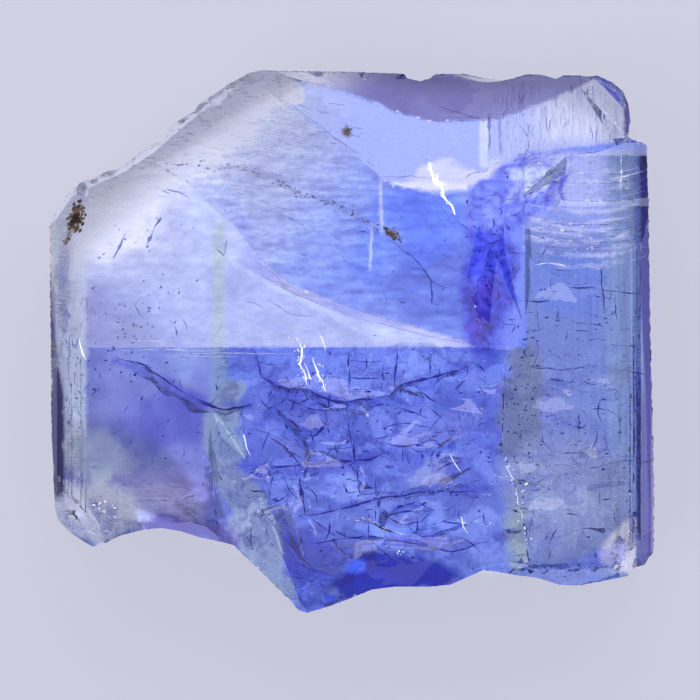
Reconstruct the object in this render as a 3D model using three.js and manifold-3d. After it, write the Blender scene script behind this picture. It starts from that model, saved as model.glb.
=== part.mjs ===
// A tanzanite crystal: two flattened prisms grown together side by side, broken at both ends and
// lying on the back face. Millimetres. +X runs across the prisms, +Y along them towards the thin
// end, and +Z up out of the front face. The origin is on the resting plane, under the middle.

import * as THREE from "three";
import { mergeVertices } from "three/addons/utils/BufferGeometryUtils.js";
import Module from "manifold-3d";

const wasm = await Module();
wasm.setup();

// Driving dimensions
const WIDTH = 22.0;
const LENGTH = 19.8;
const FRONT = 8.6; // height of the flat front face
const THIN_END = 5.6; // height of the front at the thin end
const RIDGE_Y = -0.3; // the straight ridge where the front starts to fall to the thin end
const SECOND_FRONT = 8.3; // height of the narrower crystal's front
const SECOND_TOP = 6.9; // height where the narrower crystal's front breaks off
const TERRACES_FROM = 3.7; // where the narrower crystal's front starts to step down
const TERRACES_RUN = 3.2; // how far along it the steps go
const FAR = 30; // longer than any part of the crystal

const halfWidth = WIDTH / 2;
const halfLength = LENGTH / 2;

// The outline seen from the front, clockwise from the left side.
const outline = [
  // left side
  [-10.9, -3.6], [-10.97, 3.4], [-11.0, 4.2],
  // slanted break
  [-10.85, 4.55], [-10.6, 4.85], [-10.3, 5.45], [-9.8, 5.8], [-9.4, 5.9], [-8.95, 6.15],
  [-8.6, 6.2], [-8.3, 6.4], [-7.85, 6.7], [-7.35, 7.1], [-6.85, 7.25], [-6.65, 7.75],
  [-6.3, 8.05], [-5.8, 8.35], [-5.65, 8.6], [-5.15, 8.95], [-4.65, 9.3], [-4.2, 9.55],
  // thin end
  [-3.75, 9.8], [-3.3, 9.9], [-2.3, 9.87], [-0.15, 9.88], [1.9, 9.83], [2.05, 9.65],
  [2.5, 9.55], [2.9, 9.68], [3.05, 9.82], [4.55, 9.88], [5.5, 9.82], [6.95, 9.78],
  [7.5, 9.62], [7.8, 9.75], [9.05, 9.72],
  // rounded corner and the notch above the narrower crystal
  [9.55, 9.48], [9.95, 9.15], [10.15, 8.65], [10.2, 8.15], [10.12, 7.4], [10.5, 7.2],
  [10.72, 7.05],
  // right side
  [10.75, 4.2], [10.83, -0.3], [10.93, -4.5], [11.0, -6.9], [10.95, -7.65],
  // lower break
  [10.6, -8.2], [10.1, -8.35], [10.0, -8.6], [9.4, -8.7], [8.15, -8.95], [7.5, -8.93],
  [6.75, -8.68], [5.6, -8.5], [4.75, -8.35], [4.3, -8.55], [3.55, -8.9], [2.75, -9.0],
  [1.55, -9.0], [0.7, -9.1], [-0.1, -9.4], [-0.65, -9.6],
  // foot
  [-1.65, -9.9], [-1.95, -9.82], [-2.35, -9.35], [-4.3, -7.5],
  // scallop
  [-5.0, -7.32], [-5.55, -7.2], [-6.2, -6.97], [-6.9, -6.85], [-7.5, -6.9], [-8.3, -7.1],
  [-9.4, -7.53],
  // lower left corner
  [-9.8, -7.32], [-10.4, -6.93], [-10.7, -6.55], [-10.8, -6.1],
];

// The cross-section, [x, z]: a wide front and back joined by narrow, slightly bent sides.
const crossSection = [
  [-10.4, 0], [10.45, 0], [10.85, 0.7], [halfWidth, 3.2], [10.95, 7.4], [10.45, 8.3], [9.3, FRONT],
  [-9.6, FRONT], [-10.7, 8.36], [-10.97, 7.85], [-halfWidth, 2.8], [-10.8, 0.7],
];

// The narrower crystal seen from the front.
const secondOutline = [
  [6.25, 6.4], [6.25, 0.3], [5.5, -0.9], [5.4, -4.3], [5.85, -5.1], [6.0, -5.8], [6.3, -6.85],
  [6.45, -9.5], [12, -9.5], [12, 7.25], [9.85, 7.15], [9.05, 6.85], [7.8, 6.7],
];

// The same numbers on every run, from 0 to 1.
function seeded(seed) {
  let state = seed;
  return () => {
    state = (state * 16807) % 2147483647;
    return state / 2147483647;
  };
}

// A closed geometry as a solid that can be cut and joined.
function solid(shape, matrix = new THREE.Matrix4()) {
  const bare = new THREE.BufferGeometry();
  bare.setAttribute("position", shape.getAttribute("position"));
  if (shape.index) bare.setIndex(shape.index);
  const merged = mergeVertices(bare.applyMatrix4(matrix), 1e-4);
  return new wasm.Manifold(
    new wasm.Mesh({
      numProp: 3,
      vertProperties: merged.attributes.position.array,
      triVerts: new Uint32Array(merged.index.array),
    }),
  );
}

function geometryOf(body) {
  const { numVert, numProp, vertProperties, triVerts } = body.getMesh();
  const positions = new Float32Array(numVert * 3);
  for (let i = 0; i < numVert; i += 1) {
    positions.set(vertProperties.subarray(i * numProp, i * numProp + 3), i * 3);
  }
  const found = new THREE.BufferGeometry();
  found.setAttribute("position", new THREE.BufferAttribute(positions, 3));
  found.setIndex(new THREE.BufferAttribute(triVerts, 1));
  return found;
}

function placed(position, turns = [0, 0, 0], scale = [1, 1, 1]) {
  const turn = new THREE.Quaternion().setFromEuler(new THREE.Euler(...turns, "ZYX"));
  const at = new THREE.Vector3(...position);
  return new THREE.Matrix4().compose(at, turn, new THREE.Vector3(...scale));
}

function extruded(points, depth) {
  const shape = new THREE.Shape(points.map(([x, y]) => new THREE.Vector2(x, y)));
  return new THREE.ExtrudeGeometry(shape, { depth, bevelEnabled: false });
}

// Everything beyond a plane through a point, as one large block.
function beyond(point, outward) {
  const normal = new THREE.Vector3(...outward).normalize();
  const turn = new THREE.Quaternion().setFromUnitVectors(new THREE.Vector3(0, 0, 1), normal);
  const centre = new THREE.Vector3(...point).addScaledVector(normal, FAR);
  const matrix = new THREE.Matrix4().compose(centre, turn, new THREE.Vector3(1, 1, 1));
  return solid(new THREE.BoxGeometry(2 * FAR, 2 * FAR, 2 * FAR), matrix);
}

// Front surface heights under the given points; a point outside the body takes a neighbour's.
function surfaceHeights(body, points) {
  const surface = new THREE.Mesh(geometryOf(body), new THREE.MeshBasicMaterial());
  const down = new THREE.Vector3(0, 0, -1);
  const found = points.map(([x, y]) => {
    const ray = new THREE.Raycaster(new THREE.Vector3(x, y, FAR), down);
    return ray.intersectObject(surface)[0]?.point.z;
  });
  const first = found.find((height) => height !== undefined);
  return found.map((height, i) => height ?? found.slice(0, i).findLast((z) => z) ?? first);
}

// A hollow broken out of the front. Its rim lies on the surface, lowered by the step, and flat
// walls fall from the rim to the deepest point.
function breakOut(body, rim, deepest, step = 0) {
  const heights = surfaceHeights(body, rim);
  const plan = rim.map(([x, y]) => new THREE.Vector2(x, y));
  const count = rim.length;
  const over = rim.map(([x, y]) => [x, y, FAR]);
  const edge = rim.map(([x, y], i) => [x, y, heights[i] - step]);
  const bottom = 2 * count;
  const faces = THREE.ShapeUtils.triangulateShape(plan, []);
  const turned = THREE.ShapeUtils.area(plan) > 0 ? 1 : -1;
  for (let i = 0; i < count; i += 1) {
    const next = (i + count + turned) % count;
    faces.push([count + i, count + next, next], [count + i, next, i]);
    faces.push([count + next, count + i, bottom]);
  }
  const shape = new THREE.BufferGeometry();
  const points = [...over, ...edge, deepest].flat();
  shape.setAttribute("position", new THREE.Float32BufferAttribute(points, 3));
  shape.setIndex(faces.flat());
  return body.subtract(solid(shape));
}

// A V-shaped groove along Y, turned in the front's plane.
function groove(x, y, z, width, depth, length, turn = 0) {
  const rod = new THREE.CylinderGeometry(1, 1, 1, 4);
  return solid(rod, placed([x, y, z], [0, 0, turn], [width / 2, length, depth]));
}

// The body less the cuts; splinters that the cuts leave loose go too.
function remove(body, cuts) {
  const pieces = cuts.reduce((left, cut) => left.subtract(cut), body).decompose();
  return pieces.reduce((most, piece) => (piece.volume() > most.volume() ? piece : most));
}

const slope = Math.atan((FRONT - THIN_END) / (halfLength - RIDGE_Y));

function prism() {
  const upright = placed([0, halfLength + 1, 0], [Math.PI / 2, 0, 0]);
  const along = solid(extruded(crossSection, LENGTH + 2), upright);
  return along.intersect(solid(extruded(outline, FRONT + 2), placed([0, 0, -1])));
}

// Shell-like breaks, one inside the next, that open towards the thin end.
function shellBreaks(body) {
  const falling = beyond([0, RIDGE_Y, FRONT], [0, Math.sin(slope), Math.cos(slope)]);
  const wide = [
    [-9.8, 7.5], [-7.2, 6.4], [-6.1, 5.85], [-5.35, 5.05], [-4.25, 4.1], [-3.3, 2.85],
    [-2.3, 2.05], [-1.25, 1.6], [-0.25, 1.2], [0.8, 0.85], [2.6, 0.35], [4.5, -0.2],
    [6.0, -0.5], [14, 0], [14, 14], [-8, 14],
  ];
  const lavender = [
    [-3.9, 9.85], [-2.7, 8.8], [-1.55, 7.95], [-0.75, 7.4], [0.25, 6.75], [0.8, 6.25],
    [1.1, 5.9], [1.5, 5.65], [2.3, 5.45], [3.2, 5.32], [4.2, 5.4], [5.2, 5.95],
    [6.2, 6.5], [7.45, 7.0], [10.2, 7.3], [13, 7.6], [13, 14], [-4.5, 14],
  ];
  const violet = [
    [-3.35, 10.0], [-1.8, 9.5], [-0.75, 9.25], [0.25, 8.9], [1.05, 8.65], [1.55, 8.4],
    [2.3, 8.15], [3.2, 8.03], [4.7, 8.05], [5.5, 8.15], [6.2, 8.4], [6.6, 8.65],
    [7.4, 8.87], [8.2, 9.25], [9.3, 9.8], [9.3, 14], [-3.3, 14],
  ];
  let left = body.subtract(falling);
  left = breakOut(left, wide, [6.4, 12.5, 1.6], 0.05);
  left = breakOut(left, lavender, [3.4, 12.6, 0.6], 0.08);
  return breakOut(left, violet, [3.3, 13.0, -1.2], 0.05);
}

// The narrower crystal, its front stepped down in curved terraces to where it breaks off.
function secondCrystal(whole) {
  const fall = (SECOND_FRONT - SECOND_TOP) / TERRACES_RUN;
  let crystal = remove(whole.intersect(solid(extruded(secondOutline, FAR))), [
    beyond([0, 0, SECOND_FRONT], [0, 0, 1]),
    beyond([0, TERRACES_FROM, SECOND_FRONT], [0, fall, 1]),
  ]);
  const terraces = [3.3, 3.5, 3.7, 3.9, 4.15, 5.0, 5.3, 5.65, 6.0];
  const firstStep = 0.12;
  const radius = 12;
  const thickness = 4;
  for (const [i, y] of terraces.entries()) {
    const level = SECOND_FRONT - firstStep - fall * (y - terraces[0]);
    const disc = new THREE.CylinderGeometry(radius, radius, thickness, 96);
    const middleX = 8.2 + 0.3 * (i % 3);
    const at = [middleX, y + radius, level + thickness / 2];
    crystal = crystal.subtract(solid(disc, placed(at, [Math.PI / 2, 0, 0])));
  }
  return crystal;
}

function joined(main, whole) {
  const above = solid(extruded(secondOutline, FAR), placed([0, 0, SECOND_FRONT]));
  return main.subtract(above).add(secondCrystal(whole));
}

// The deep valley between the two crystals, and the blade-shaped hollow at its head.
function valley(body) {
  const trough = [
    [4.6, 4.2], [4.15, 2.2], [4.85, -0.25], [5.5, -0.45], [6.2, 0.5], [6.5, 2.4], [6.4, 4.1],
    [5.5, 4.3],
  ];
  const blade = [
    [7.45, 7.15], [6.2, 6.5], [5.2, 5.95], [4.2, 5.4], [4.55, 4.1], [6.3, 4.0], [7.05, 4.4],
    [7.5, 4.95], [7.7, 6.0], [7.8, 6.7],
  ];
  return breakOut(breakOut(body, trough, [5.25, 2.9, 6.2]), blade, [5.9, 5.0, 6.3]);
}

// Faces broken off along the lower edge and the slanted break.
function brokenEdges(body) {
  const footBevel = [
    [-5.15, -2.4], [-5.1, -4.6], [-6.4, -7.4], [-4.2, -11], [-0.9, -10.9], [-1.9, -9.5],
    [-3.75, -4.5],
  ];
  const overScallop = [
    [-8.9, -7.1], [-8.0, -6.0], [-7.2, -6.35], [-6.3, -6.5], [-5.3, -6.8], [-4.5, -7.2],
    [-3.9, -8.2], [-5, -10], [-9.6, -9],
  ];
  const lowerEdge = [
    [-1.1, -9.2], [-0.25, -7.95], [1.5, -7.7], [3.2, -7.85], [4.3, -8.3], [5, -10], [-0.8, -11],
  ];
  const secondEnd = [
    [4.4, -8.3], [5.6, -8.05], [7.4, -8.35], [8.6, -8.3], [10.0, -8.3], [10.2, -10], [4.6, -10],
  ];
  const lowerRight = [
    [9.4, -8.9], [9.6, -8.3], [10.0, -7.7], [10.9, -6.85], [12, -6.4], [12, -10], [9.6, -10],
  ];
  const lowerLeft = [
    [-11.6, -5.0], [-10.3, -5.6], [-9.5, -6.4], [-8.8, -7.3], [-8.9, -9], [-12, -8.4],
  ];
  const slanted = [
    [-11.6, 3.6], [-10.75, 4.4], [-10.2, 5.2], [-9.3, 5.65], [-8.2, 6.15], [-7.2, 6.85],
    [-6.15, 7.8], [-5.0, 8.7], [-4.0, 9.35], [-3.5, 10.6], [-10, 11], [-12.5, 6],
  ];
  const rounded = [
    [8.9, 10.4], [9.3, 9.2], [9.8, 8.4], [10.0, 7.5], [10.9, 7.3], [12, 7.6], [11.6, 10.6],
  ];
  let left = breakOut(body, footBevel, [-4.7, -8.9, 6.2]);
  left = breakOut(left, overScallop, [-6.8, -8.6, 6.0]);
  left = breakOut(left, lowerEdge, [1.7, -9.6, 6.7]);
  left = breakOut(left, secondEnd, [7.2, -9.3, 7.1]);
  left = breakOut(left, lowerRight, [11.2, -8.9, 6.7]);
  left = breakOut(left, lowerLeft, [-10.7, -7.4, 7.0]);
  left = breakOut(left, slanted, [-9.4, 7.6, 5.0]);
  return breakOut(left, rounded, [10.7, 9.3, 4.4]);
}

// Shallow shell-shaped hollows where the front is cracked: the deepest point, its depth, the rim.
function crackedFront(body) {
  const hollows = [
    [[-0.9, -1.3], 0.34, [
      [-3.5, -0.55], [-3.3, -1.35], [-2.8, -1.65], [-2.3, -1.8], [-1.8, -1.65], [-1.25, -2.05],
      [-0.5, -2.3], [0.25, -2.2], [1.3, -2.05], [1.8, -1.6], [2.5, -1.3], [1.2, -0.55],
    ]],
    [[-1.3, -2.6], 0.3, [
      [-2.95, -2.3], [-2.3, -2.95], [-1.8, -3.3], [-0.9, -3.2], [-0.2, -2.85], [0.1, -2.45],
      [-0.55, -2.4], [-1.3, -2.15], [-2.2, -1.95],
    ]],
    [[-1.5, -3.95], 0.36, [
      [-3.4, -3.1], [-3.1, -3.45], [-2.55, -3.85], [-2.15, -4.25], [-1.85, -4.6], [-0.2, -4.55],
      [0.1, -3.6], [-0.9, -3.4], [-1.8, -3.5], [-2.5, -2.95],
    ]],
    [[-0.6, -5.3], 0.1, [[-1.75, -4.75], [0.1, -4.7], [0.15, -6.0], [-0.8, -6.25], [-1.6, -6.1]]],
    [[2.5, -2.7], 0.4, [
      [0.5, -2.6], [1.4, -2.3], [2.4, -2.2], [3.6, -1.45], [4.5, -1.6], [4.5, -3.3], [3.0, -4.0],
      [1.2, -3.8],
    ]],
    [[3.1, -4.7], 0.24, [
      [1.6, -4.6], [3.0, -4.1], [4.4, -3.7], [4.7, -4.6], [3.9, -5.3], [2.2, -5.4],
    ]],
    [[2.0, -6.3], 0.3, [
      [1.2, -6.3], [1.6, -6.0], [2.3, -5.9], [2.75, -6.1], [2.4, -6.5], [1.7, -6.75],
    ]],
    [[1.8, -7.1], 0.34, [
      [0.2, -6.4], [1.2, -6.95], [2.8, -6.75], [4.4, -6.2], [4.8, -7.1], [3.3, -7.6],
      [1.2, -7.5], [-0.4, -7.6], [-0.9, -7.1],
    ]],
    [[-2.2, -6.2], 0.45, [
      [-3.6, -5.1], [-1.9, -5.0], [-1.8, -6.3], [-1.2, -7.2], [-1.5, -8.4], [-2.3, -7.6],
    ]],
    // hazy field on the left, below a long crack
    [[-7.9, -1.9], 0.16, [
      [-8.55, -0.7], [-7.5, -0.95], [-6.85, -1.45], [-5.9, -2.05], [-5.3, -2.35], [-5.2, -4.4],
      [-5.5, -5.9], [-7.6, -5.8], [-9.2, -5.4], [-9.5, -2.4],
    ]],
    // fields on the narrower crystal
    [[7.6, 2.1], 0.2, [
      [6.4, 2.9], [7.5, 2.7], [9.0, 3.0], [9.3, 1.9], [8.2, 1.3], [6.5, 1.5],
    ]],
    [[7.2, -1.7], 0.3, [
      [5.7, -0.9], [7.2, -0.5], [8.8, -1.2], [9.1, -2.6], [7.6, -3.2], [5.7, -2.7],
    ]],
    [[7.8, -5.0], 0.36, [
      [6.1, -3.8], [8.0, -3.6], [9.6, -4.4], [9.2, -6.1], [7.6, -6.6], [6.5, -6.0],
    ]],
  ];
  // smaller ones scattered between them, wider than high
  const random = seeded(7);
  const count = 26;
  const corners = 7;
  const field = { left: -5, width: 14, bottom: -7.2, height: 6.2 };
  for (let i = 0; i < count; i += 1) {
    const x = field.left + (field.width * (i + random())) / count;
    const size = 0.4 + 0.7 * random();
    const lean = random() - 0.5;
    const y = field.bottom + field.height * random() + lean * size;
    const rim = Array.from({ length: corners }, (_, corner) => {
      const angle = (corner / corners) * 2 * Math.PI;
      const reach = size * (0.75 + 0.5 * random());
      return [x + 1.25 * reach * Math.cos(angle), y + 0.6 * reach * Math.sin(angle)];
    });
    const depth = 0.06 + 0.12 * size;
    hollows.push([[x + 0.4 * lean, y + 0.2 * size], depth, rim]);
  }
  return hollows.reduce((left, [[x, y], depth, rim]) => {
    const [height] = surfaceHeights(left, [[x, y]]);
    return breakOut(left, rim, [x, y, height - depth]);
  }, body);
}

// Large shell-shaped hollows in the broken end walls, below the front's rim.
function wallHollows() {
  const hollows = [
    [[-0.5, 12.6, 1.6], 3.5], [[5.6, 12.3, 2.4], 3.0], [[-9.2, 10.0, 2.6], 3.4],
    [[-6.0, 12.2, 1.4], 3.7], [[1.8, -12.2, 2.4], 3.5], [[7.4, -11.6, 3.4], 3.3],
    [[-4.6, -10.4, 2.6], 2.3], [[-8.2, -10.2, 3.2], 2.9],
  ];
  return hollows.map(([centre, radius]) => {
    const ball = new THREE.SphereGeometry(radius, 40, 20);
    const flattened = [1.25, 1, 0.62];
    return solid(ball, placed(centre, [0.4, 0.3, 0], flattened));
  });
}

// Narrow slits and cracks open at the front face: [x, y, width, length, turn].
function slits() {
  const open = [
    [1.55, -1.05, 0.16, 1.3, -0.08], [2.8, -0.85, 0.1, 0.7, 0], [-1.8, -5.65, 0.26, 1.4, -0.08],
    [0.2, -5.2, 0.22, 0.95, 0.1], [0.05, -4.1, 0.14, 0.8, -0.06], [-0.5, -4.1, 0.1, 0.55, 0],
    [-0.1, -1.2, 0.1, 1.5, 0], [0.55, -0.9, 0.09, 1.0, 0], [1.1, -1.5, 0.09, 0.8, 0.05],
    [0.5, -0.95, 0.08, 1.2, Math.PI / 2], [0.5, -1.85, 0.08, 1.2, Math.PI / 2],
    [3.3, -2.6, 0.14, 1.1, -0.04], [3.9, -3.1, 0.12, 0.9, 0.05], [-3.0, -4.4, 0.1, 0.6, 0],
    [-4.0, -3.2, 0.12, 1.4, 0.03], [-2.9, -4.95, 0.1, 2.0, Math.PI / 2],
    [2.8, -5.5, 0.1, 3.6, Math.PI / 2 + 0.2],
  ];
  const depth = 0.28;
  return open.map(([x, y, width, length, turn]) => groove(x, y, FRONT, width, depth, length, turn));
}

// Growth grooves along the prisms: on the sides, beside them on the front, on the narrower
// crystal and on the thin end.
function striations(body) {
  const cuts = [];
  const random = seeded(23);
  const shallow = 0.03;
  const sideCount = 12;
  for (let i = 0; i < sideCount; i += 1) {
    const share = (i + 0.3 + 0.5 * random()) / sideCount;
    const width = 0.12 + 0.16 * random();
    const z = 1.6 + 5.4 * share;
    for (const side of [-1, 1]) {
      cuts.push(groove(side * (halfWidth - 0.03), 0, z, 0.5 * width, width, LENGTH + 4));
    }
  }
  const besideCount = 4;
  for (let i = 0; i < besideCount; i += 1) {
    const share = (i + 0.6 * random()) / besideCount;
    const length = 5 + 6 * random();
    const y = -6 + 9 * random();
    cuts.push(groove(9.3 + 1.1 * share, y, SECOND_FRONT, 0.24, shallow, length));
    cuts.push(groove(-9.7 - 0.9 * share, y, FRONT - 0.2 * share, 0.24, shallow, length));
  }
  const secondCount = 12;
  for (let i = 0; i < secondCount; i += 1) {
    const x = 6.0 + 3.2 * random();
    const length = 2 + 4 * random();
    const width = 0.12 + 0.12 * random();
    cuts.push(groove(x, -8 + 10 * random(), SECOND_FRONT, width, shallow, length));
  }
  const thinCount = 20;
  const lift = 0.02; // keeps each groove open along its whole length
  const ends = [];
  for (let i = 0; i < thinCount; i += 1) {
    const share = (i + random()) / thinCount;
    const x = 5.0 + 4.0 * share;
    const top = 7.9 + 1.5 * share; // just below the break to the thin end's own face
    ends.push([x, top - 0.7 - 0.8 * random()], [x, top]);
  }
  const heights = surfaceHeights(body, ends);
  for (let i = 0; i < ends.length; i += 2) {
    const [x, foot] = ends[i];
    const run = ends[i + 1][1] - foot;
    const fall = heights[i + 1] - heights[i];
    const rod = new THREE.CylinderGeometry(1, 1, 1, 4);
    const place = [x, foot + run / 2, heights[i] + fall / 2 + lift];
    const size = [0.03 + 0.03 * random(), Math.hypot(run, fall), shallow];
    cuts.push(solid(rod, placed(place, [Math.atan2(fall, run), 0, 0], size)));
  }
  return cuts;
}

// Fine steps beside the ridge, each lower one shorter.
function ridgeSteps() {
  const steps = [];
  const stepCount = 4;
  const across = Math.PI / 2;
  for (let i = 0; i < stepCount; i += 1) {
    const y = RIDGE_Y - 0.12 - 0.15 * i;
    const length = 5.2 - 0.5 * i;
    steps.push(groove(-4.4 + 0.5 * i, y, FRONT, 0.09, 0.05, length, across - 0.01 * i));
  }
  return steps;
}

// Small chips out of the front's rim: the thin end, the slanted break and the lower edge.
function chips(body) {
  const random = seeded(41);
  const edges = [
    { from: [-3.3, 9.88], to: [9.1, 9.78], count: 9 },
    { from: [-10.85, 4.7], to: [-4.1, 9.55], count: 11 },
    { from: [10.6, -8.2], to: [5.0, -8.5], count: 7 },
    { from: [-10.75, -6.4], to: [-8.6, -7.2], count: 4 },
  ];
  const spots = edges.flatMap(({ from, to, count }) =>
    Array.from({ length: count }, (_, i) => {
      const share = (i + 0.2 + 0.6 * random()) / count;
      return [0, 1].map((axis) => from[axis] + share * (to[axis] - from[axis]));
    }),
  );
  const heights = surfaceHeights(body, spots);
  return spots.map(([x, y], i) => {
    const turns = [random() * 3, random() * 3, random() * 3];
    const radius = 0.13 + 0.3 * random() ** 2;
    const stone = new THREE.IcosahedronGeometry(radius, 0);
    return solid(stone, placed([x, y, heights[i] + 0.02], turns, [1.8, 0.7, 1.1]));
  });
}

// The back: flat where it rests, with faces broken off round its rim.
function backFaces() {
  return [
    beyond([-7.0, -6.7, 0], [-0.25, -0.8, -0.55]),
    beyond([1.6, -8.6, 0], [0.05, -0.9, -0.5]),
    beyond([-7.0, 5.9, 0], [-0.5, 0.72, -0.5]),
    beyond([3.0, 9.1, 0], [0.02, 0.85, -0.5]),
    beyond([9.8, 7.9, 0], [0.7, 0.55, -0.6]),
    beyond([8.4, -8.0, 0], [0.4, -0.8, -0.55]),
    beyond([-9.9, -6.3, 0], [-0.75, -0.6, -0.55]),
  ];
}

const whole = prism();
let body = joined(shellBreaks(whole), whole);
body = crackedFront(brokenEdges(valley(body)));
body = remove(body, [...wallHollows(), ...backFaces()]);
body = remove(body, [...slits(), ...striations(body), ...ridgeSteps(), ...chips(body)]);

const geometry = geometryOf(body);
geometry.computeBoundingBox();
const middle = geometry.boundingBox.getCenter(new THREE.Vector3());
geometry.translate(-middle.x, -middle.y, -geometry.boundingBox.min.z);
geometry.computeVertexNormals();

const crystal = new THREE.Mesh(
  geometry,
  new THREE.MeshStandardMaterial({ color: 0x6f86ea, roughness: 0.08, metalness: 0 }),
);
crystal.name = "crystal";

const group = new THREE.Group();
group.add(crystal);

export default group;
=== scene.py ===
"""A clear tanzanite crystal, with the cracks and flecks inside it, lying on a pale floor.

Sizes and places are in millimetres in the part's frame, and meshes are scaled to metres.
"""

import itertools
import logging
import math
import random
from collections.abc import Callable, Iterable, Sequence
from dataclasses import dataclass
from enum import Enum
from typing import Any, Union

import bmesh
import bpy
import numpy as np
from mathutils import Matrix, Vector, noise
from mathutils.bvhtree import BVHTree
from mathutils.kdtree import KDTree


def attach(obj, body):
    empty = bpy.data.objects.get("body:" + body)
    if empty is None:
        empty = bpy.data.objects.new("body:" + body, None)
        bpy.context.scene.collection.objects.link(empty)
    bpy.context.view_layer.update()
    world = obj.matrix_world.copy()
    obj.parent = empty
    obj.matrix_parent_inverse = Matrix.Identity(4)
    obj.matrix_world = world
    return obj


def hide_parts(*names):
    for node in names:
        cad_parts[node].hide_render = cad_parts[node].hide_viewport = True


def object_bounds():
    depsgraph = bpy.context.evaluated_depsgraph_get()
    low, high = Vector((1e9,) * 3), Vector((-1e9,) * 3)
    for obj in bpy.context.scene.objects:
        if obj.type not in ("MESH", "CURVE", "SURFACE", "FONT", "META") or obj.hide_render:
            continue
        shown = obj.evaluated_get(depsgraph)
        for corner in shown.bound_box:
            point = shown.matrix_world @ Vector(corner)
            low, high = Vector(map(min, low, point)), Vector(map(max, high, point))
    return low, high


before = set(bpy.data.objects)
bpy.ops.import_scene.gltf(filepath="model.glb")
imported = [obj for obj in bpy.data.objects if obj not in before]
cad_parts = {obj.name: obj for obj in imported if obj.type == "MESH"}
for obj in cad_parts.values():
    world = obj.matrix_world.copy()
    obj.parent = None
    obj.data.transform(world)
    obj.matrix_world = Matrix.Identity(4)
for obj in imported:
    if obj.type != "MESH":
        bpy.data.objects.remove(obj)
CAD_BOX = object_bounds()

LOG = logging.getLogger("tanzanite")
MM = 0.001
NOISE_SEED = 11

Point = tuple[float, float]
Colour = tuple[float, float, float]
Oval = tuple[Point, Point, float, float, Colour]
Number = Union[float, "Term"]
Front = Callable[[float, float], "float | None"]

# Where one field of the front gives way to the next, as the start and end of the change:
# the ridge and the top of the narrower crystal in y, the foot in z, the others in x.
RIDGE: Point = (-0.33, -0.23)
BROKEN_START: Point = (-5.4, -4.2)
BROKEN_END: Point = (9.4, 10.2)
SECOND_TOP: Point = (6.7, 7.0)
SECOND_START: Point = (6.15, 6.4)
VALLEY_START: Point = (4.5, 4.9)
PALE_END: Point = (4.4, 5.4)
FRONT_FOOT: Point = (1.2, 1.8)
STAIN: Colour = (98, 84, 82)

# A fleck's six corners, before it is squashed, and its faces.
FLECK_CORNERS = ((1, 0, 0), (0, 1, 0), (-1, 0, 0), (0, -1, 0), (0, 0, 1), (0, 0, -1))
FLECK_SIDES = ((0, 1, 4), (1, 2, 4), (2, 3, 4), (3, 0, 4), (1, 0, 5), (2, 1, 5), (3, 2, 5), (0, 3, 5))

# Edges of the front's faces, as [x, y] from left to right.
WIDE_BREAK: list[Point] = [
    (-12.0, 9.6), (-8.6, 7.9), (-7.2, 6.4), (-6.1, 5.85), (-5.35, 5.05), (-4.25, 4.1),
    (-3.3, 2.85), (-2.3, 2.05), (-1.25, 1.6), (-0.25, 1.2), (0.8, 0.85), (2.6, 0.35),
    (4.5, -0.2), (12.0, -0.6),
]
LAVENDER_BREAK: list[Point] = [
    (-12.0, 12.0), (-5.5, 11.2), (-3.9, 9.85), (-2.7, 8.8), (-1.55, 7.95), (-0.75, 7.4),
    (0.25, 6.75), (0.8, 6.25), (1.1, 5.9), (1.5, 5.65), (2.3, 5.45), (3.2, 5.32),
    (4.2, 5.4), (5.2, 5.95), (6.2, 6.5), (7.45, 7.0), (10.2, 7.3), (12.0, 7.5),
]
VIOLET_BREAK: list[Point] = [
    (-12.0, 12.0), (-3.7, 10.1), (-1.8, 9.5), (-0.75, 9.25), (0.25, 8.9), (1.05, 8.65),
    (1.55, 8.4), (2.3, 8.15), (3.2, 8.03), (4.7, 8.05), (5.5, 8.15), (6.2, 8.4),
    (6.6, 8.65), (7.4, 8.87), (8.2, 9.25), (9.3, 9.8), (12.0, 12.0),
]
SWOOSH_TOP: list[Point] = [
    (-12.0, 7.2), (-6.4, 4.3), (-5.0, 3.25), (-4.2, 2.75), (-3.2, 2.2), (-2.3, 1.75),
    (-0.25, 0.85), (2.6, 0.15), (4.5, -0.3), (12.0, -1.0),
]
INNER_BREAK: list[Point] = [
    (-12.0, 8.0), (-6.42, 4.19), (-5.69, 3.71), (-5.03, 3.2), (-4.19, 2.6), (12.0, -6.0),
]
CRUMB_SEAM: list[Point] = [
    (-6.9, 6.3), (-5.4, 6.3), (-3.97, 6.24), (-2.95, 5.87), (-1.78, 5.25), (-0.5, 4.88),
    (0.1, 4.48), (0.8, 4.1), (1.2, 3.95), (1.75, 3.6),
]
SLANTED_RIM: list[Point] = [
    (-10.9, 4.4), (-10.35, 5.2), (-9.4, 5.75), (-8.3, 6.3), (-7.4, 6.95), (-6.8, 7.2),
    (-6.3, 7.9), (-5.7, 8.4), (-4.7, 9.15), (-3.9, 9.65),
]
THIN_RIM: list[Point] = [(-3.6, 9.8), (-0.2, 9.8), (1.9, 9.75), (2.5, 9.5), (4.5, 9.8), (9.0, 9.65)]
ROUND_RIM: list[Point] = [(9.05, 9.65), (9.85, 9.1), (10.08, 8.3), (10.02, 7.4), (10.65, 7.0)]

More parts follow.
